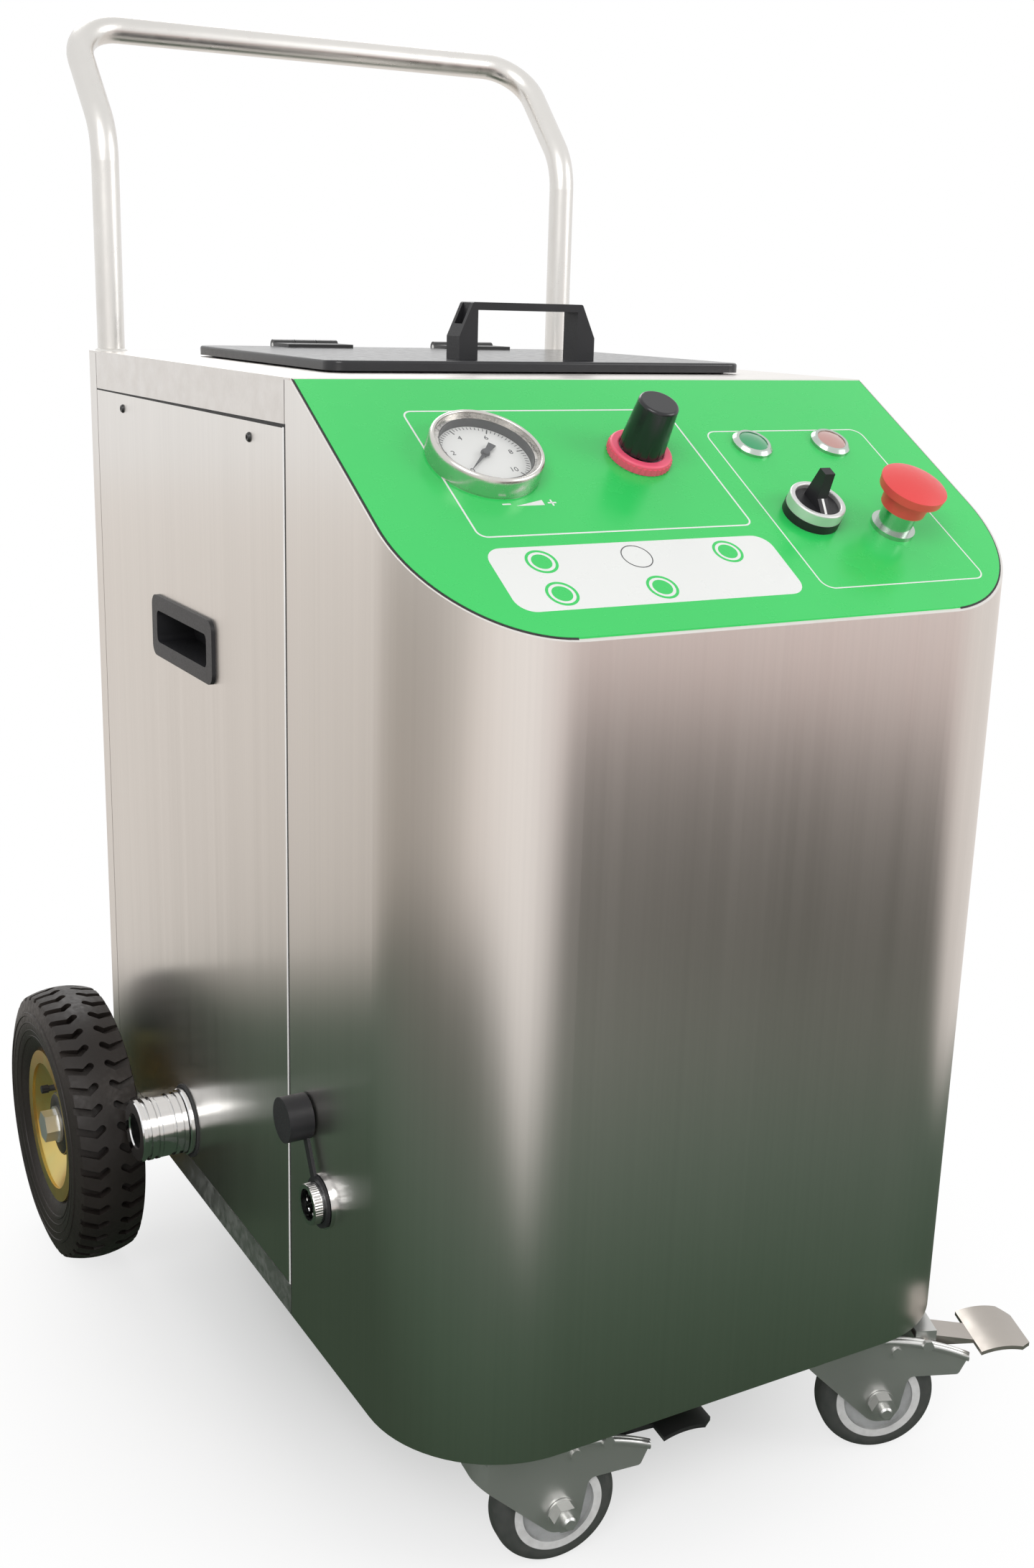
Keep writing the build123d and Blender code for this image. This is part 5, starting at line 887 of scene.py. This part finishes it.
panel_print()
overlay_edges()
sign_discs()
gauge_scale()
gauge_rim()
knob_details()
hose_thread()
air_thread()
socket_knurl()
cover_screws()
rear_screws()
leg_beads()
seam_edges()
for side, sign in SIDES:
    wheel_details(side, sign)
    caster_details(side)


# Stage: white floor and surroundings, soft lamps, and a card that only glossy surfaces see

# Floor: side and colour of its paper, and the distances in metres between which it turns white
FLOOR_SIZE, FLOOR_COLOUR, FLOOR_FADE = 60, (0.92, 0.92, 0.92, 1), (-0.1, 0.55)
WHITE = (1, 1, 1, 1)
WORLD_LEVEL = 0.6
# Lamps: place and size in metres, and power in watts
LAMPS = (
    ("key", (-2.4, -2.6, 3.0), 2.4, 62),
    ("fill", (2.6, -2.2, 2.0), 2.0, 30),
    ("back", (0.6, 2.8, 3.0), 2.2, 40),
)
LAMP_AIM = Vector((0, 0, 0.45))
# Card: its radius and height in metres, the distance its ramps reach, and the width of its blurred edge
CARD_R, CARD_UP, CARD_STEPS = 7, 0.0008, 128
CARD_REACH, CARD_BLUR = 4.0, 0.18
CARD_HIDDEN_FROM = ("camera", "diffuse", "transmission", "volume_scatter", "shadow")
# Colour of the card close by, by the distance in metres
CARD_DARK = (
    (0.0, (0.042, 0.065, 0.042)), (0.45, (0.042, 0.065, 0.042)), (0.65, (0.062, 0.098, 0.066)),
    (0.9, (0.095, 0.13, 0.1)), (1.2, (0.12, 0.13, 0.11)), (1.55, (0.06, 0.06, 0.05)),
    (4.0, (0.05, 0.05, 0.045)),
)
# Where the card turns light, in metres, and its colour there, by the direction round the machine in degrees
CARD_EDGE = (
    (-180, 1.55), (-150, 1.58), (-135, 1.65), (-120, 1.45), (-104, 0.86), (-91, 1.35), (-76, 3.0),
    (-48, 3.0), (-30, 0.95), (60, 0.85), (100, 0.84), (128, 0.86), (150, 1.3), (180, 1.55),
)
CARD_LIGHT = (
    (-180, (0.44, 0.4, 0.37)), (-157, (0.52, 0.48, 0.44)), (-138, (0.88, 0.81, 0.77)),
    (-120, (1.0, 0.95, 0.92)), (-100, (1.0, 0.97, 0.95)), (-86, (0.92, 0.82, 0.8)),
    (-66, (0.75, 0.59, 0.56)), (-48, (0.72, 0.57, 0.55)), (-30, (0.85, 0.8, 0.77)),
    (100, (0.97, 0.93, 0.89)), (118, (0.94, 0.89, 0.85)), (127, (0.7, 0.65, 0.61)),
    (143, (0.5, 0.46, 0.42)), (164, (0.4, 0.36, 0.32)), (180, (0.44, 0.4, 0.37)),
)


class StageTree:
    """Node tree of a stage material or of the world, with short ways to join nodes."""

    def __init__(self, owner):
        owner.use_nodes = True
        self.tree = owner.node_tree
        self.nodes = self.tree.nodes

    def link(self, output, target):
        self.tree.links.new(output, target)

    def add(self, kind, *values, **settings):
        """Node with its settings; values go into its first inputs, as numbers or as outputs."""
        made = self.nodes.new("ShaderNode" + kind)
        for name, value in settings.items():
            setattr(made, name, value)
        for socket, value in zip(made.inputs, values):
            if isinstance(value, bpy.types.NodeSocket):
                self.link(value, socket)
            else:
                socket.default_value = value
        return made

    def math(self, operation, *values):
        return self.add("Math", *values, operation=operation).outputs[0]

    def seen(self):
        """One for rays that show the surface itself, nothing for rays that only bring its light."""
        path = self.add("LightPath")
        straight = self.math("MAXIMUM", path.outputs["Is Camera Ray"], path.outputs["Is Glossy Ray"])
        return self.math("MAXIMUM", straight, path.outputs["Is Transmission Ray"])

    def distance(self):
        """Distance from the machine's middle, and the direction round it from 0 to 1."""
        place = self.add("SeparateXYZ", self.add("NewGeometry").outputs["Position"])
        x, y = place.outputs["X"], place.outputs["Y"]
        squares = self.math("ADD", self.math("MULTIPLY", x, x), self.math("MULTIPLY", y, y))
        turn = self.math("ADD", self.math("ARCTAN2", y, x), math.pi)
        return self.math("SQRT", squares), self.math("DIVIDE", turn, 2 * math.pi)

    def smooth(self, value, begin, end):
        """Soft step from 0 to 1 between two values."""
        return self.add("MapRange", value, begin, end, interpolation_type="SMOOTHSTEP").outputs["Result"]

    def ramp(self, value, stops):
        """Colour that follows stops of (place, colour); the first place is 0 and the last is 1."""
        made = self.add("ValToRGB", value)
        elements = made.color_ramp.elements
        for element, (_, colour) in zip(elements, (stops[0], stops[-1])):
            element.color = (*colour, 1)
        for place, colour in stops[1:-1]:
            elements.new(place).color = (*colour, 1)
        return made.outputs["Color"]

    def round_ramp(self, turn, stops):
        """Colour that follows stops of (degrees, colour) round the machine."""
        return self.ramp(turn, [((degrees + 180) / 360, colour) for degrees, colour in stops])

    def surface(self, shader):
        self.link(shader.outputs[0], self.nodes["Material Output"].inputs["Surface"])


def stage_floor():
    """Pale floor that takes the machine's shadow close by and is white farther off."""
    bpy.ops.mesh.primitive_plane_add(size=FLOOR_SIZE)
    floor = bpy.context.object
    floor.name = "floor"
    material = bpy.data.materials.new("floor_paper")
    tree = StageTree(material)
    paper = tree.add("BsdfDiffuse", FLOOR_COLOUR)
    white = tree.add("Emission", WHITE, 1.0)
    reach, _ = tree.distance()
    far = tree.math("MULTIPLY", tree.smooth(reach, *FLOOR_FADE), tree.seen())
    tree.surface(tree.add("MixShader", far, paper.outputs[0], white.outputs[0]))
    floor.data.materials.append(material)


def stage_world():
    """White surroundings that light the machine less than they show."""
    world = bpy.data.worlds.new("studio")
    bpy.context.scene.world = world
    tree = StageTree(world)
    background = tree.nodes["Background"]
    background.inputs["Color"].default_value = WHITE
    strength = tree.add("MapRange", tree.seen(), 0.0, 1.0, WORLD_LEVEL, 1.0).outputs["Result"]
    tree.link(strength, background.inputs["Strength"])


def stage_lamp(name, at, size, power):
    """Round soft lamp that shines on the machine's middle."""
    lamp = bpy.data.lights.new(name, "AREA")
    lamp.shape = "DISK"
    lamp.size = size
    lamp.energy = power
    made = bpy.data.objects.new(name, lamp)
    made.location = at
    made.rotation_mode = "QUATERNION"
    made.rotation_quaternion = (LAMP_AIM - Vector(at)).to_track_quat("-Z", "Y")
    bpy.context.scene.collection.objects.link(made)


def stage_card():
    """Workshop floor that only glossy surfaces see: dark close to the machine, light farther off."""
    bpy.ops.mesh.primitive_circle_add(
        vertices=CARD_STEPS, radius=CARD_R, fill_type="NGON", location=(0, 0, CARD_UP)
    )
    card = bpy.context.object
    card.name = "reflected_floor"
    for rays in CARD_HIDDEN_FROM:
        setattr(card, f"visible_{rays}", False)
    material = bpy.data.materials.new("reflected_floor")
    tree = StageTree(material)
    reach, turn = tree.distance()
    shares = [(degrees, (metres / CARD_REACH,) * 3) for degrees, metres in CARD_EDGE]
    edge = tree.math("MULTIPLY", tree.round_ramp(turn, shares), CARD_REACH)
    begin = tree.math("MULTIPLY", edge, 1 - CARD_BLUR)
    end = tree.math("MULTIPLY", edge, 1 + CARD_BLUR)
    colour = tree.add("Mix", tree.smooth(reach, begin, end), data_type="RGBA")
    stops = [(metres / CARD_REACH, shade) for metres, shade in CARD_DARK]
    near = tree.ramp(tree.math("DIVIDE", reach, CARD_REACH), stops)
    tree.link(near, colour.inputs[MIX_FIRST])
    tree.link(tree.round_ramp(turn, CARD_LIGHT), colour.inputs[MIX_SECOND])
    tree.surface(tree.add("Emission", colour.outputs[MIX_RESULT], 1.0))
    card.data.materials.append(material)


place_camera()
stage_floor()
stage_world()
stage_card()
for lamp in LAMPS:
    stage_lamp(*lamp)
bpy.context.scene.view_settings.view_transform = "Standard"
